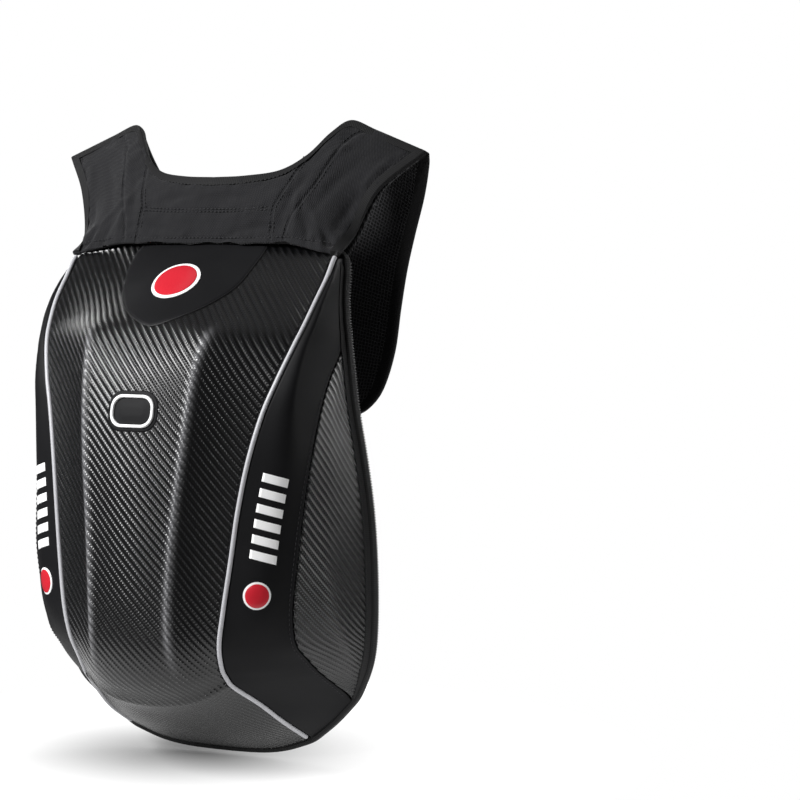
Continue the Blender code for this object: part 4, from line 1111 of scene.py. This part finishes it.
def make_top_patch(finish, line_finish):
    """The smooth forehead panel, raised inside its edge, and the line drawn round it."""
    first, last = PATCH_ROWS[0][0], PATCH_ROWS[-1][0]
    top, under, edge = [], [], []
    for k in range(71):
        row = first + (last - first) * (1 - (1 - k / 70) ** 1.6)
        guides = front_guides(row)
        half_width = patch_half_width(row)
        limit = half_width / guides[1].x
        drop = abs(front_point(row + 0.02, limit).z - front_point(row, limit).z) + 1e-6
        lean = drop / ((half_width - patch_half_width(min(row + 0.02, last))) ** 2 + drop**2) ** 0.5
        line, low = [], []
        for step in steps(-1, 1, 1 / 28):
            share = 1 - (1 - abs(step)) ** 1.5
            point = front_point(row, limit * share, guides)
            distance = half_width * (1 - share) * max(lean, 0.35)
            rise = PATCH_RISE * min(1.0, distance / PATCH_EDGE) ** 0.5
            point = mirrored(point) if step < 0 else point
            line.append(inward(point, -PATCH_LIFT - rise))
            low.append(inward(point, PATCH_LIFT))
        top.append(line)
        under.append(low)
        edge.append(inward(front_point(row, limit, guides), -PATCH_LINE_LIFT))
    patch = sheet("forehead_panel", top, under, finish, measured_grid(top))
    dress(patch, "smooth_black", "top_patch")
    outline = evenly([mirrored(point) for point in edge] + edge[-2::-1], 260)
    dress(tube("forehead_panel_line", outline, PATCH_LINE_RADIUS, line_finish, 6), "smooth_black")
    return patch


def surface_finder(*pieces):
    """A ray cast on to finished pieces, towards +Y at a width and height."""
    trees = []
    for piece in pieces:
        body = bmesh.new()
        body.from_mesh(piece.data)
        trees.append(BVHTree.FromBMesh(body))
        body.free()

    def find(x, z):
        hits = [tree.ray_cast(Vector((x, -1.0, z)), Vector((0, 1, 0))) for tree in trees]
        best = min((hit for hit in hits if hit[0] is not None), key=lambda hit: hit[0].y)
        return best[0], best[1] if best[1].y < 0 else -best[1]

    return find


def rounded_outline(width, height, corner, corner_steps):
    points = []
    for index, (sx, sz) in enumerate(((1, 1), (-1, 1), (-1, -1), (1, -1))):
        for k in range(corner_steps + 1):
            angle = (index + k / corner_steps) * pi / 2
            points.append((sx * (width / 2 - corner) + corner * cos(angle),
                           sz * (height / 2 - corner) + corner * sin(angle)))
    return points


def laid_ring(find, up, outline, lift):
    """An outline laid on the shell round a place on its middle line, and lifted off it."""
    made = []
    for x, z in outline:
        point, normal = find(x, up + z)
        made.append(point + normal * lift)
    return made


def lid(name, find, up, outlines, finish):
    """A thin lid laid on the shell: (outline, lift) rings from the outside in, closed at its middle."""
    rings = [laid_ring(find, up, outline, lift) for outline, lift in outlines]
    tip = laid_ring(find, up, [(0, 0)], outlines[-1][1])
    verts = [vert for ring in rings + [tip] for vert in ring]
    count, last = len(rings[0]), len(verts) - 1
    faces = grid_faces(len(rings), count, 0, closed_columns=True) + [tuple(range(count))]
    faces += [(last - count + k, last - count + (k + 1) % count, last) for k in range(count)]
    return add_object(name, verts, faces, finish, sharp_degrees=45)


def make_badge(find, red, white):
    """A plain oval reflector with a pale ring, in the middle of the forehead panel."""
    for name, profile, finish in (("badge_ring", BADGE_RING, white), ("badge_disc", BADGE_DISC, red)):
        outlines = []
        for share, lift in profile:
            round_line = circle(BADGE_RADIUS * share, 40)
            outlines.append(([(x * BADGE_STRETCH, z / BADGE_STRETCH) for x, z in round_line], lift))
        dress(lid(name, find, BADGE_CENTRE_UP * SHELL_HEIGHT, outlines, finish), "pale_trim")


def make_plate(find, dark, pale):
    """A plain oval plate: a pale line round a dark dished middle."""
    def ovals(profile):
        for inset, lift in profile:
            height = PLATE_HEIGHT - 2 * inset
            yield rounded_outline(PLATE_WIDTH - 2 * inset, height, height * 0.40, 12), lift

    up = PLATE_CENTRE_UP * SHELL_HEIGHT
    base = lid("plate_base", find, up, list(ovals(PLATE_BASE)), dark)
    rings = [laid_ring(find, up, outline, lift) for outline, lift in ovals(PLATE_RIM)]
    dress(sweep("plate_line", rings, pale, closed=True), "pale_trim", "centre_plate")
    dress(base, "smooth_black")


def on_band(row, share):
    """A point on the right band; share runs from the piping to the outer seam."""
    line = corner_line(band_guides(row))
    return at_lengths(line, [running_length(line)[-1] * share])[0]


def band_place(row, share):
    """A point on the right band and its outward direction."""
    point = on_band(row, share)
    normal = (on_band(row, share + 0.02) - point).cross(on_band(row + 0.05, share) - point).normalized()
    return point, -normal if normal.dot(point - inward(point, 0.01)) < 0 else normal


def make_bars(side_name, side, white):
    """Plain slanted bars down the band."""
    shares = steps(0, 1, 0.1)
    for index in range(BAR_COUNT):
        first = BAR_FIRST_ROW + index * BAR_PITCH_ROWS
        top, under = [], []
        for i in shares:
            places = [band_place(first + i * BAR_HIGH_ROWS + BAR_SLANT_ROWS * (j - 0.5),
                                 BAR_START_SHARE + BAR_WIDE_SHARE * j) for j in shares]
            top.append(on_side([point + normal * BAR_LIFT for point, normal in places], side))
            under.append(on_side([point - normal * BAR_LIFT * 0.4 for point, normal in places], side))
        dress(sheet(f"side_bar_{side_name}_{index + 1}", top, under, white), "pale_trim")


def make_mark(side_name, side, red, white):
    """A plain round reflector below the bars."""
    centre, normal = band_place(MARK_ROW, MARK_SHARE)
    down = (on_band(MARK_ROW + 0.1, MARK_SHARE) - centre).normalized()
    beside = normal.cross(down).normalized()
    grid = [[on_band(MARK_ROW + i * 0.05, MARK_SHARE + j * 0.05) for j in range(-8, 9)]
            for i in range(-10, 11)]
    verts = [point for row in grid for point in row]
    tree = BVHTree.FromPolygons(verts, grid_faces(len(grid), len(grid[0]), 0))
    for kind, profile, finish in (("ring", MARK_RING, white), ("disc", MARK_DISC, red)):
        rings = []
        for share, lift in profile:
            above = [centre + beside * x + down * z + normal * 0.05
                     for x, z in circle(MARK_RADIUS * share, 32)]
            ring = [tree.ray_cast(start, -normal)[0] + normal * lift for start in above]
            rings.append(on_side(ring, side))
        dress(sweep(f"side_mark_{kind}_{side_name}", rings, finish), "pale_trim")


# The harness

YOKE_GUIDES = (
    [at_harness(row[1], row[2], 0, row[3]) for row in YOKE_COLUMNS],
    [at_harness(*row[4:8]) for row in YOKE_COLUMNS],
    [at_harness(row[8], 0, *row[9:11]) for row in YOKE_COLUMNS],
    [at_harness(row[11], 0, *row[12:14]) for row in YOKE_COLUMNS],
)


def yoke_guides(column):
    return [smooth_line(guide, min(abs(column), YOKE_LAST)) for guide in YOKE_GUIDES]


def yoke_point(column, row, guides=None):
    point = smooth_line(guides or yoke_guides(column), row)
    return mirrored(point) if column < 0 else point


def yoke_grid(row_count, column_step):
    columns = [(column, yoke_guides(column)) for column in steps(-YOKE_LAST, YOKE_LAST, column_step)]
    return [[yoke_point(column, 3 * k / (row_count - 1), guides) for column, guides in columns]
            for k in range(row_count)]


def drawn_lines(table):
    """Smooth lines on both sides of the yoke from (column, row) points."""
    made = []
    for points in table.values():
        line = [Vector((column, row, 0)) for column, row in points]
        places = [smooth_line(line, (len(line) - 1) * k / 60) for k in range(61)]
        made += both_sides([yoke_point(place.x, min(max(place.y, 0.0), 3.0)) for place in places])
    return made


def make_yoke(cloth, thread):
    """The woven yoke with its sewn lines, puckers, soft folds, rippled hem and stitches."""
    seams, stitched = drawn_lines(YOKE_SEAMS), drawn_lines(YOKE_STITCHES)
    seam_places, stitch_places = seam_tree(seams), seam_tree(stitched)
    grid = yoke_grid(121, 0.0625)
    normals = grid_normals(grid)
    folds = [(yoke_point(side * column, row), radians(side * slant), length, width, depth)
             for (column, row), slant, length, width, depth in YOKE_FOLDS for side in (1, -1)]
    outer = []
    for points, directions in zip(grid, normals):
        line = []
        for point, normal in zip(points, directions):
            seam, stitch = seam_places.find(point)[2], stitch_places.find(point)[2]
            drop = SEAM_DROP * bell(seam, SEAM_SPREAD) + STITCH_DROP * bell(stitch, STITCH_SPREAD)
            pucker = PUCKER_DEPTH * exp(-min(seam, stitch) / PUCKER_REACH)
            drop += noise.noise(point * PUCKER_SCALE) * pucker
            drop += noise.noise(point * CLOTH_WAVE_SCALE + Vector((3.1, 0.7, 5.2))) * CLOTH_WAVE
            for centre, slant, length, width, depth in folds:
                away = point - centre
                along = away.x * cos(slant) + away.z * sin(slant)
                over = away.z * cos(slant) - away.x * sin(slant) + 0.12 * along * along / length
                drop += depth * bell(along, length) * bell(over, width)
            line.append(point + normal * drop)
        outer.append(line)
    for point, source in zip(outer[0], grid[0]):
        point.z += 0.0012 * sin(source.x * 95) + 0.0007 * sin(source.x * 233 + 1.0)
    inner = moved(grid, normals, YOKE_THICKNESS * 0.95)
    yoke = sheet("yoke_cloth", outer, inner, cloth, measured_grid(grid))
    dress(yoke, "woven_black", "yoke")
    verts, faces = [], []
    for line in stitched:
        stitch_run(verts, faces, [point + YOKE_FACING * 0.0001 for point in line], [YOKE_FACING] * len(line))
    for line in seams:
        ways = [way_along(line, index).cross(Vector((0, -1, 0.3))).normalized() for index in range(len(line))]
        for shift in (SEAM_STITCH_SHIFT, -SEAM_STITCH_SHIFT):
            beside = [point + way * shift for point, way in zip(line, ways)]
            stitch_run(verts, faces, beside, [YOKE_FACING] * len(line))
    dress(add_object("yoke_stitches", verts, faces, thread), "webbing")


def binding_ring(point, into, normal, thick):
    """A folded tape's section at a point of a cloth's edge; into is the way into the cloth."""
    centre = point + normal * thick / 2
    fold = [centre - normal * cos(pi * k / 12) * (thick / 2 + BINDING_RISE)
            - into * sin(pi * k / 12) * (BINDING_WRAP + BINDING_RISE) for k in range(13)]
    front = point - normal * BINDING_RISE + into * BINDING_DEPTH
    back = point + normal * (thick + BINDING_RISE) + into * BINDING_DEPTH
    sink = normal * (BINDING_RISE + 0.0004)
    return [front] + fold + [back, back - sink, front + sink]


def make_yoke_bindings(finish):
    """Folded tapes round the collar, the crests and the arm edges."""
    collar = [(column, 3.0) for column in steps(-YOKE_LAST, YOKE_LAST, 0.1)]
    paths = [("collar_tape", collar, 0, YOKE_THICKNESS + LINING_THICKNESS + GAP)]
    for side_name, side in SIDES:
        arm = [(side * YOKE_LAST, row) for row in steps(0.02, 3.0, 0.05)]
        paths.append(("arm_tape_" + side_name, arm, side, YOKE_THICKNESS))
    for name, places, side, thick in paths:
        edge = [yoke_point(*place) for place in places]
        rings = []
        for index, (column, row) in enumerate(places):
            within = yoke_point(column - 0.1 * side, row if side else row - 0.1)
            into = (within - edge[index]).normalized()
            normal = into.cross(way_along(edge, index).normalized()).normalized()
            rings.append(binding_ring(edge[index], into, normal if normal.y > 0 else -normal, thick))
        dress(sweep(name, rings, finish), "webbing")


def lining_grid(row_count, column_step):
    """The yoke's grid moved behind it, tucked in and dropped towards its foot."""
    grid = yoke_grid(row_count, column_step)
    grid = moved(grid, grid_normals(grid), YOKE_THICKNESS + GAP)
    made = []
    for index, row in enumerate(grid):
        away = 1 - index / (len(grid) - 1)
        line = []
        for point, start in zip(row, grid[0]):
            y = point.y + (BACK_Y - LINING_THICKNESS - start.y) * away**1.5
            line.append(Vector((point.x * (1 - LINING_TUCK * away**2), y, point.z - LINING_DROP * away**2)))
        made.append(line)
    return made


def make_lining(finish):
    grid = lining_grid(29, 0.2)
    outer = [[point + normal * (LINING_THICKNESS + noise.noise(point * CLOTH_WAVE_SCALE) * LINING_WAVE)
              for point, normal in zip(*rows)] for rows in zip(grid, grid_normals(grid))]
    piece = sheet("yoke_lining_cloth", outer, grid, finish, measured_grid(grid))
    dress(piece, "spacer_mesh", "yoke_lining")


def crest_point(column):
    layers = YOKE_THICKNESS + LINING_THICKNESS + 5 * GAP
    return smooth_line(YOKE_GUIDES[3], column) + Vector((0, layers, -STRAP_THICKNESS * CREST_DEPTH / 2))


def strap_point(across, back, drop):
    crest = HEM_UP * SHELL_HEIGHT + HARNESS_RISE
    return Vector((across * HALF_WIDTH, RIM_Y + back * STRAP_REACH, crest - drop * STRAP_LENGTH))


STRAP_INNER = [crest_point(CREST_COLUMN)] + [strap_point(*row[1:4]) for row in STRAP_ROWS]
STRAP_OUTER = [crest_point(YOKE_LAST)] + [strap_point(*row[4:7]) for row in STRAP_ROWS]
STRAP_DEPTHS = [CREST_DEPTH] + [row[7] for row in STRAP_ROWS]


def strap_frame(position):
    """Middle of the strap, its direction across, its facing away from the pack, and its width and depth."""
    def edge_points(place):
        return smooth_line(STRAP_INNER, place), smooth_line(STRAP_OUTER, place)

    inner, outer = edge_points(position)
    before, after = max(position - 0.05, 0), min(position + 0.05, STRAP_LAST)
    along = sum(edge_points(after), Vector()) - sum(edge_points(before), Vector())
    across = outer - inner
    depth = smooth_line(STRAP_DEPTHS, position) * STRAP_THICKNESS
    return inner.lerp(outer, 0.5), across.normalized(), across.cross(along).normalized(), across.length, depth


def strap_fullness(share):
    """How full the pad is at a share of its width from -0.5 to 0.5: crowned, and thin where it is bound."""
    return 0.30 + 0.70 * max(1 - (abs(share) * 2) ** 4, 0) ** 0.5


def make_strap(side_name, side, mesh_cloth, tape):
    """A crowned foam pad with a tape folded over each long edge."""
    frames = [strap_frame(position) for position in steps(0, STRAP_LAST, 0.1)]
    shares = steps(-0.5, 0.5, 1 / 30)
    back, front, uv_grid = [], [], []
    places = running_length([row[0] for row in frames])
    for (middle, across, facing, width, depth), place in zip(frames, places):
        outer, inner = [], []
        for share in shares:
            centre = middle + across * share * width
            wave = noise.noise(centre * STRAP_WAVE_SCALE) * STRAP_WAVE
            full = facing * (depth / 2 * strap_fullness(share) + wave)
            outer.append(centre + full)
            inner.append(centre - full)
        back.append(on_side(outer, side))
        front.append(on_side(inner, side))
        uv_grid.append([(share * width, place) for share in shares])
    pad = sheet("strap_foam_" + side_name, back, front, mesh_cloth, uv_grid)
    dress(pad, "spacer_mesh", "strap_pad_" + side_name)
    for edge_name, edge in (("inner", -1), ("outer", 1)):
        rings = []
        for middle, across, facing, width, depth in frames:
            lip, half_lip = 0.5 - BINDING_WIDTH / width, 0.5 - BINDING_WIDTH / width / 2
            ring = []
            for share, face in ((lip, 1), (half_lip, 1), (0.495, 1), (0.5, 0.6), (0.5, -0.6), (0.495, -1),
                                (half_lip, -1), (lip, -1)):
                full = depth / 2 * strap_fullness(share) + BINDING_RISE
                out = BINDING_WRAP if share >= 0.5 else 0.0
                ring.append(middle + across * edge * (share * width + out) + facing * face * full)
            inside = facing * (depth / 2 * strap_fullness(lip) - 0.0006)
            lip_middle = middle + across * edge * lip * width
            rings.append(on_side(ring + [lip_middle - inside, lip_middle + inside], side))
        dress(sweep(f"strap_tape_{edge_name}_{side_name}", rings, tape), "webbing")


def ribbon(name, frames, side, width, thickness, finish, fine=6):
    """A flat woven strip through frames of (middle, across, facing), with rounded edges."""
    frames = [on_side(frame, side) for frame in frames]
    middles = [frame[0] for frame in frames]
    dense = []
    for index, (start, end) in enumerate(zip(frames, frames[1:])):
        for t in steps(0, 1, 1 / fine)[:-1]:
            across, facing = [start[part].lerp(end[part], t).normalized() for part in (1, 2)]
            dense.append((smooth_line(middles, index + t), across, facing))
    dense.append(frames[-1])
    rings = [[middle + across * x * width / 2 + facing * y * thickness / 2 for x, y in RIBBON_SECTION]
             for middle, across, facing in dense]
    return sweep(name, rings, finish)


def lock_frame():
    """Middle of the adjuster buckle, its directions across, out and down."""
    middle, across, facing, _, depth = strap_frame(STRAP_LAST)
    down = facing.cross(across).normalized()
    return middle + down * (LOCK_HEIGHT / 2 + LOCK_BAR) + facing * depth * 0.5, across, facing, down


def make_strap_tape(side_name, side, finish):
    frames = []
    for position in steps(TAPE_FIRST_ROW, STRAP_LAST, 0.5):
        middle, across, facing, _, depth = strap_frame(position)
        frames.append((middle + facing * (depth / 2 + GAP + TAPE_THICKNESS / 2), across, facing))
    middle, across, facing, down = lock_frame()
    lift = LOCK_THICKNESS / 2 + GAP + TAPE_THICKNESS / 2
    for distance in (0.5 * LOCK_HEIGHT, 0.5 * LOCK_HEIGHT - LOCK_BAR):
        frames.append((middle - down * distance + facing * lift, across, facing))
    piece = ribbon("strap_web_" + side_name, frames, side, TAPE_WIDTH, TAPE_THICKNESS, finish)
    dress(piece, "webbing", "strap_tape_" + side_name)


def make_lower_web(side_name, side, finish):
    """The webbing threaded through the adjuster and bowed down to its anchor on the back."""
    middle, across, facing, down = lock_frame()
    lift = LOCK_THICKNESS / 2 + 2 * GAP + TAPE_THICKNESS / 2
    window = (LOCK_HEIGHT - 3 * LOCK_BAR) / 2
    threaded = ((-LOCK_BAR / 2 - 0.6 * window, lift), (LOCK_BAR / 2 + 0.08 * window, lift),
                (LOCK_BAR / 2 + 0.92 * window, -lift), (LOCK_HEIGHT / 2 + LOCK_BAR, -lift))
    line = [middle + down * along + facing * away for along, away in threaded]
    sewn_x, sewn_z = WEB_ANCHOR[0] * HALF_WIDTH, WEB_ANCHOR[1] * SHELL_HEIGHT
    sewn = Vector((sewn_x, TAPE_THICKNESS / 2 - PAD_THICKNESS, sewn_z))
    start = sewn + Vector((0, 0, WEB_ANCHOR_LENGTH))
    bowed = line[-1].lerp(start, 0.5) + Vector((0, WEB_BOW, 0))
    bowed.x = start.x
    hanging = [line[-2], line[-1], bowed, start, sewn]
    line += [smooth_line(hanging, position) for position in steps(1.25, 3, 0.25)] + [sewn]
    frames = []
    for index, point in enumerate(line):
        share = min(1, max(0, index - 3) / (len(line) - 6))
        sideways = across.lerp(Vector((1, 0, 0)), share)
        along = way_along(line, index) if index > 1 else down
        frames.append((point, sideways.normalized(), along.cross(sideways).normalized()))
    piece = ribbon("lower_webbing_" + side_name, frames, side, TAPE_WIDTH, TAPE_THICKNESS, finish, 4)
    dress(piece, "webbing", "lower_web_" + side_name)


def make_sternum_web(side_name, side, finish):
    """The chest strap's free end, hanging from its slider."""
    middle, across, facing, _, depth = strap_frame(STERNUM_ROW)
    down = facing.cross(across).normalized()
    lift = depth / 2 + 4 * GAP + 1.5 * TAPE_THICKNESS + SLIDER_THICKNESS
    start = middle + facing * lift - across * (TAPE_WIDTH / 2 - SLIDER_BAR)
    line = [start, start - across * SLIDER_BAR * 2]
    for share in steps(1 / 4, 1, 1 / 4):
        line.append(line[1] + Vector((-1, 0, 0)) * STERNUM_TAPE_LENGTH * share
                    + down * STERNUM_TAPE_LENGTH * 0.35 * share**2)
    frames = [(point, way_along(line, index).cross(facing).normalized(), facing)
              for index, point in enumerate(line)]
    piece = ribbon("sternum_webbing_" + side_name, frames, side, STERNUM_TAPE_WIDTH, TAPE_THICKNESS, finish)
    dress(piece, "webbing", "sternum_web_" + side_name)


def make_back_pad(mesh_cloth, tape):
    """A bound foam pad with sewn channels."""
    face, back = [], []
    for place in steps(0.5, -0.5, -1 / 78):
        z = place * PAD_HEIGHT
        from_end = PAD_HEIGHT / 2 - abs(z)
        half = PAD_WIDTH / 2
        if from_end < PAD_CORNER:
            half -= PAD_CORNER - (PAD_CORNER**2 - (PAD_CORNER - from_end) ** 2) ** 0.5
        line = []
        for x in steps(-half, half, half / 20):
            lift = min(1.0, max(min(half - abs(x), from_end), 0) / PAD_EDGE)
            height = PAD_THICKNESS * (0.30 + 0.70 * (1 - (1 - lift) ** 2) ** 0.5)
            for channel in PAD_CHANNELS:
                height -= CHANNEL_DEPTH * bell(x - channel, CHANNEL_SPREAD) * lift
            for level in PAD_SEAMS:
                slant = z - level + abs(x) * 0.35
                beside = smoothstep(0.030, 0.036, abs(x))
                height -= PAD_SEAM_DEPTH * bell(slant, CHANNEL_SPREAD) * lift * beside
            line.append(Vector((x, height - PAD_THICKNESS, z)))
        face.append(line)
        back.append([Vector((point.x, -PAD_THICKNESS, z)) for point in line])
    pad = sheet("back_foam", face, back, mesh_cloth, measured_grid(face))
    dress(pad, "spacer_mesh", "back_pad")
    outline = rounded_outline(PAD_WIDTH, PAD_HEIGHT, PAD_CORNER, 16)
    loop = [Vector((x, -PAD_THICKNESS + 0.0025, z)) for x, z in outline]
    loop = evenly(loop + [loop[0]], 240)[:-1]
    dress(tube("back_pad_tape", loop, PAD_TAPE_RADIUS, tape, 10, facing=Vector((0, 1, 0))), "webbing")


def make_hang_loop(finish):
    """A loop of webbing that bows off the lining's top edge."""
    grid = lining_grid(5, 0.5)
    normals = grid_normals(grid)
    middle = len(grid[0]) // 2
    low, high, out = grid[-2], grid[-1], normals[-2]

    def between(line, share):
        place = middle + (share - 0.5) * 3.5
        return line[int(place)].lerp(line[int(place) + 1], place - int(place))

    shares = steps(0, 1, 1 / 10)
    points = []
    for share in shares:
        off = LINING_THICKNESS + 13 * GAP + TAPE_THICKNESS / 2 + LOOP_DROP * sin(pi * share)
        points.append(between(low, share) + between(out, share) * off)
    frames = []
    for index, (point, share) in enumerate(zip(points, shares)):
        up = (between(high, share) - between(low, share)).normalized()
        frames.append((point, up, way_along(points, index).cross(up).normalized()))
    dress(ribbon("hang_loop_web", frames, 1, LOOP_WIDTH, TAPE_THICKNESS, finish), "webbing", "hang_loop")


def make_hardware(frame, finish):
    """The moulded pieces: the CAD's own shapes with softened edges."""
    names = ["sternum_socket", "sternum_plug"]
    for side_name, _ in SIDES:
        names += ["ladder_lock_" + side_name, "sternum_slider_" + side_name]
    for name in names:
        body = bmesh.new()
        body.from_mesh(frame["nodes"][name].data)
        bmesh.ops.remove_doubles(body, verts=body.verts, dist=1e-5)
        bmesh.ops.dissolve_limit(body, angle_limit=radians(2), verts=body.verts, edges=body.edges)
        sharp = [edge for edge in body.edges
                 if len(edge.link_faces) == 2 and edge.calc_face_angle() > radians(30)]
        bmesh.ops.bevel(body, geom=sharp, offset=0.0006, segments=3, affect="EDGES", profile=0.5,
                        clamp_overlap=True)
        bmesh.ops.triangulate(body, faces=[face for face in body.faces if len(face.verts) > 4])
        mesh = bpy.data.meshes.new(name + "_moulding")
        body.to_mesh(mesh)
        body.free()
        dress(placed(mesh, finish, 40), "black_plastic", name)


def make_shell_stitches(thread):
    """A row of small stitches beside the outer seam of each band."""
    line, normals = [], []
    for row in steps(5.6, 17.2, 0.05):
        guide = corner_line(band_guides(row))
        point = at_lengths(guide, [running_length(guide)[-1] - BAND_STITCH_INSET])[0]
        normals.append((point - inward(point, 0.01)).normalized())
        line.append(point + normals[-1] * 0.0001)
    verts, faces = [], []
    for _, side in SIDES:
        stitch_run(verts, faces, on_side(line, side), on_side(normals, side), BAND_STITCH_SPACING)
    dress(add_object("band_stitches", verts, faces, thread), "webbing")


# Studio

def make_studio(lowest, finish):
    """A pale round floor, soft lights and an even pale surround."""
    verts = [Vector((x, y, lowest)) for x, y in circle(FLOOR_RADIUS, 96)]
    add_object("studio_floor", verts, [tuple(range(96))], finish)
    lights = (
        # name, direction to the light, distance, size, power
        ("key", (-0.48, -0.74, 0.56), 1.9, 0.70, 52),
        ("left_strip", (-0.80, -0.60, 0.30), 1.9, 0.26, 2.5),
        ("front_strip", (0.02, -1.0, 0.30), 1.9, 0.24, 7),
        ("right", (0.95, 0.31, 0.02), 1.9, 0.30, 8),
        ("back_left", (-0.82, 0.60, 0.40), 2.0, 1.0, 14),
        ("back_right", (0.40, 0.92, 0.55), 2.0, 1.2, 18),
        ("top", (0.05, 0.10, 1.0), 2.2, 2.0, 3.5),
    )
    for name, place, distance, size, power in lights:
        data = bpy.data.lights.new(name, "AREA")
        data.shape = "DISK"
        data.size = size
        data.energy = power
        light = bpy.data.objects.new(name, data)
        direction = Vector(place)
        light.location = direction.normalized() * distance + Vector((0, RIM_Y, 0))
        light.rotation_euler = (-direction).to_track_quat("-Z", "Y").to_euler()
        bpy.context.scene.collection.objects.link(light)
    world = bpy.data.worlds.new("studio")
    world.use_nodes = True
    nodes, links = world.node_tree.nodes, world.node_tree.links
    path = nodes.new("ShaderNodeLightPath")
    level = nodes.new("ShaderNodeMapRange")
    level.inputs["To Min"].default_value = WORLD_LIGHT
    level.inputs["To Max"].default_value = 1.0
    links.new(path.outputs["Is Camera Ray"], level.inputs["Value"])
    links.new(level.outputs["Result"], nodes["Background"].inputs["Strength"])
    nodes["Background"].inputs["Color"].default_value = (1.0, 1.0, 1.0, 1.0)
    bpy.context.scene.world = world
    bpy.context.scene.view_settings.view_transform = "Standard"


def make_camera():
    """A camera at the photograph's angle, turned so that the rim's middle falls on its pixel."""
    azimuth, elevation = CAMERA_AZIMUTH, CAMERA_ELEVATION
    back = Vector((sin(azimuth) * cos(elevation), -cos(azimuth) * cos(elevation), sin(elevation)))
    right = Vector((cos(azimuth), sin(azimuth), 0))
    up = back.cross(right)
    half = PICTURE_SIZE / 2
    yaw = atan((TARGET_PIXEL[0] - half) / FOCAL_PIXELS)
    pitch = atan((half - TARGET_PIXEL[1]) / FOCAL_PIXELS)
    turned = -back * cos(yaw) - right * sin(yaw)
    right = right * cos(yaw) - back * sin(yaw)
    aim = turned * cos(pitch) - up * sin(pitch)
    up = up * cos(pitch) + turned * sin(pitch)
    data = bpy.data.cameras.new("camera")
    data.sensor_width = 36
    data.lens = FOCAL_PIXELS * data.sensor_width / PICTURE_SIZE
    camera = bpy.data.objects.new("camera", data)
    place = Vector((0, RIM_Y, 0)) + back * CAMERA_DISTANCE
    camera.matrix_world = Matrix.Translation(place) @ Matrix((right, up, -aim)).transposed().to_4x4()
    bpy.context.scene.collection.objects.link(camera)
    bpy.context.scene.camera = camera


def main():
    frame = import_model()
    cad_box = [list(corner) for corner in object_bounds()]
    carbon = carbon_material("carbon_ribs", 0.0055, 0.00066, grey(0.012, 0.013))
    carbon_side = carbon_material("carbon_ribs_side", 0.0056, 0.00090, grey(0.013, 0.014))
    smooth_black = smooth_black_material()
    cloth = woven_material("woven_black", 0.0017, grey(0.005, 0.006), grey(0.017, 0.019), 0.0005)
    back_cloth = woven_material("woven_back", 0.0016, grey(0.010, 0.011), grey(0.024, 0.026), 0.00016)
    mesh_cloth = mesh_material()
    tape = tape_material("webbing", grey(0.006, 0.007), grey(0.020, 0.022))
    binding = tape_material("binding_tape", grey(0.007, 0.007), grey(0.016, 0.017))
    rim_tape = tape_material("rim_tape", grey(0.011, 0.011), grey(0.026, 0.027))
    thread = tape_material("thread", grey(0.028, 0.030), grey(0.050, 0.053))
    pale = grained_material("pale_trim", 0.42, 0.5, 900, 2, grey(0.34, 0.36), grey(0.50, 0.52), 0.00008)
    white = grained_material("white_print", 0.4, 0.5, 1600, 1, grey(0.82, 0.82), grey(0.95, 0.95), 0.00004)
    red_low, red_high = (0.42, 0.010, 0.020), (0.62, 0.022, 0.038)
    red = grained_material("red_print", 0.25, 0.5, 1600, 1, red_low, red_high, 0.00004)
    plastic = plastic_material()

    shell = make_front_shell(carbon)
    patch = make_top_patch(smooth_black, plastic)
    make_badge(surface_finder(shell, patch), red, white)
    make_plate(surface_finder(shell), smooth_black, white)
    make_rim_binding(rim_tape)
    make_back_wall(back_cloth)
    make_zip(plastic)
    make_back_pad(mesh_cloth, binding)
    make_yoke(cloth, thread)
    make_yoke_bindings(binding)
    make_lining(mesh_cloth)
    make_hang_loop(tape)
    make_hardware(frame, plastic)
    make_shell_stitches(thread)
    for side_name, side in SIDES:
        make_side_band(side_name, side, smooth_black)
        make_side_inset(side_name, side, carbon_side)
        make_piping(side_name, side, pale)
        make_rim_lip(side_name, side, rim_tape)
        make_bars(side_name, side, white)
        make_mark(side_name, side, red, white)
        make_strap(side_name, side, mesh_cloth, binding)
        make_strap_tape(side_name, side, tape)
        make_lower_web(side_name, side, tape)
        make_sternum_web(side_name, side, tape)

    make_studio(cad_box[0][2] - 0.004, floor_material())
    make_camera()


main()
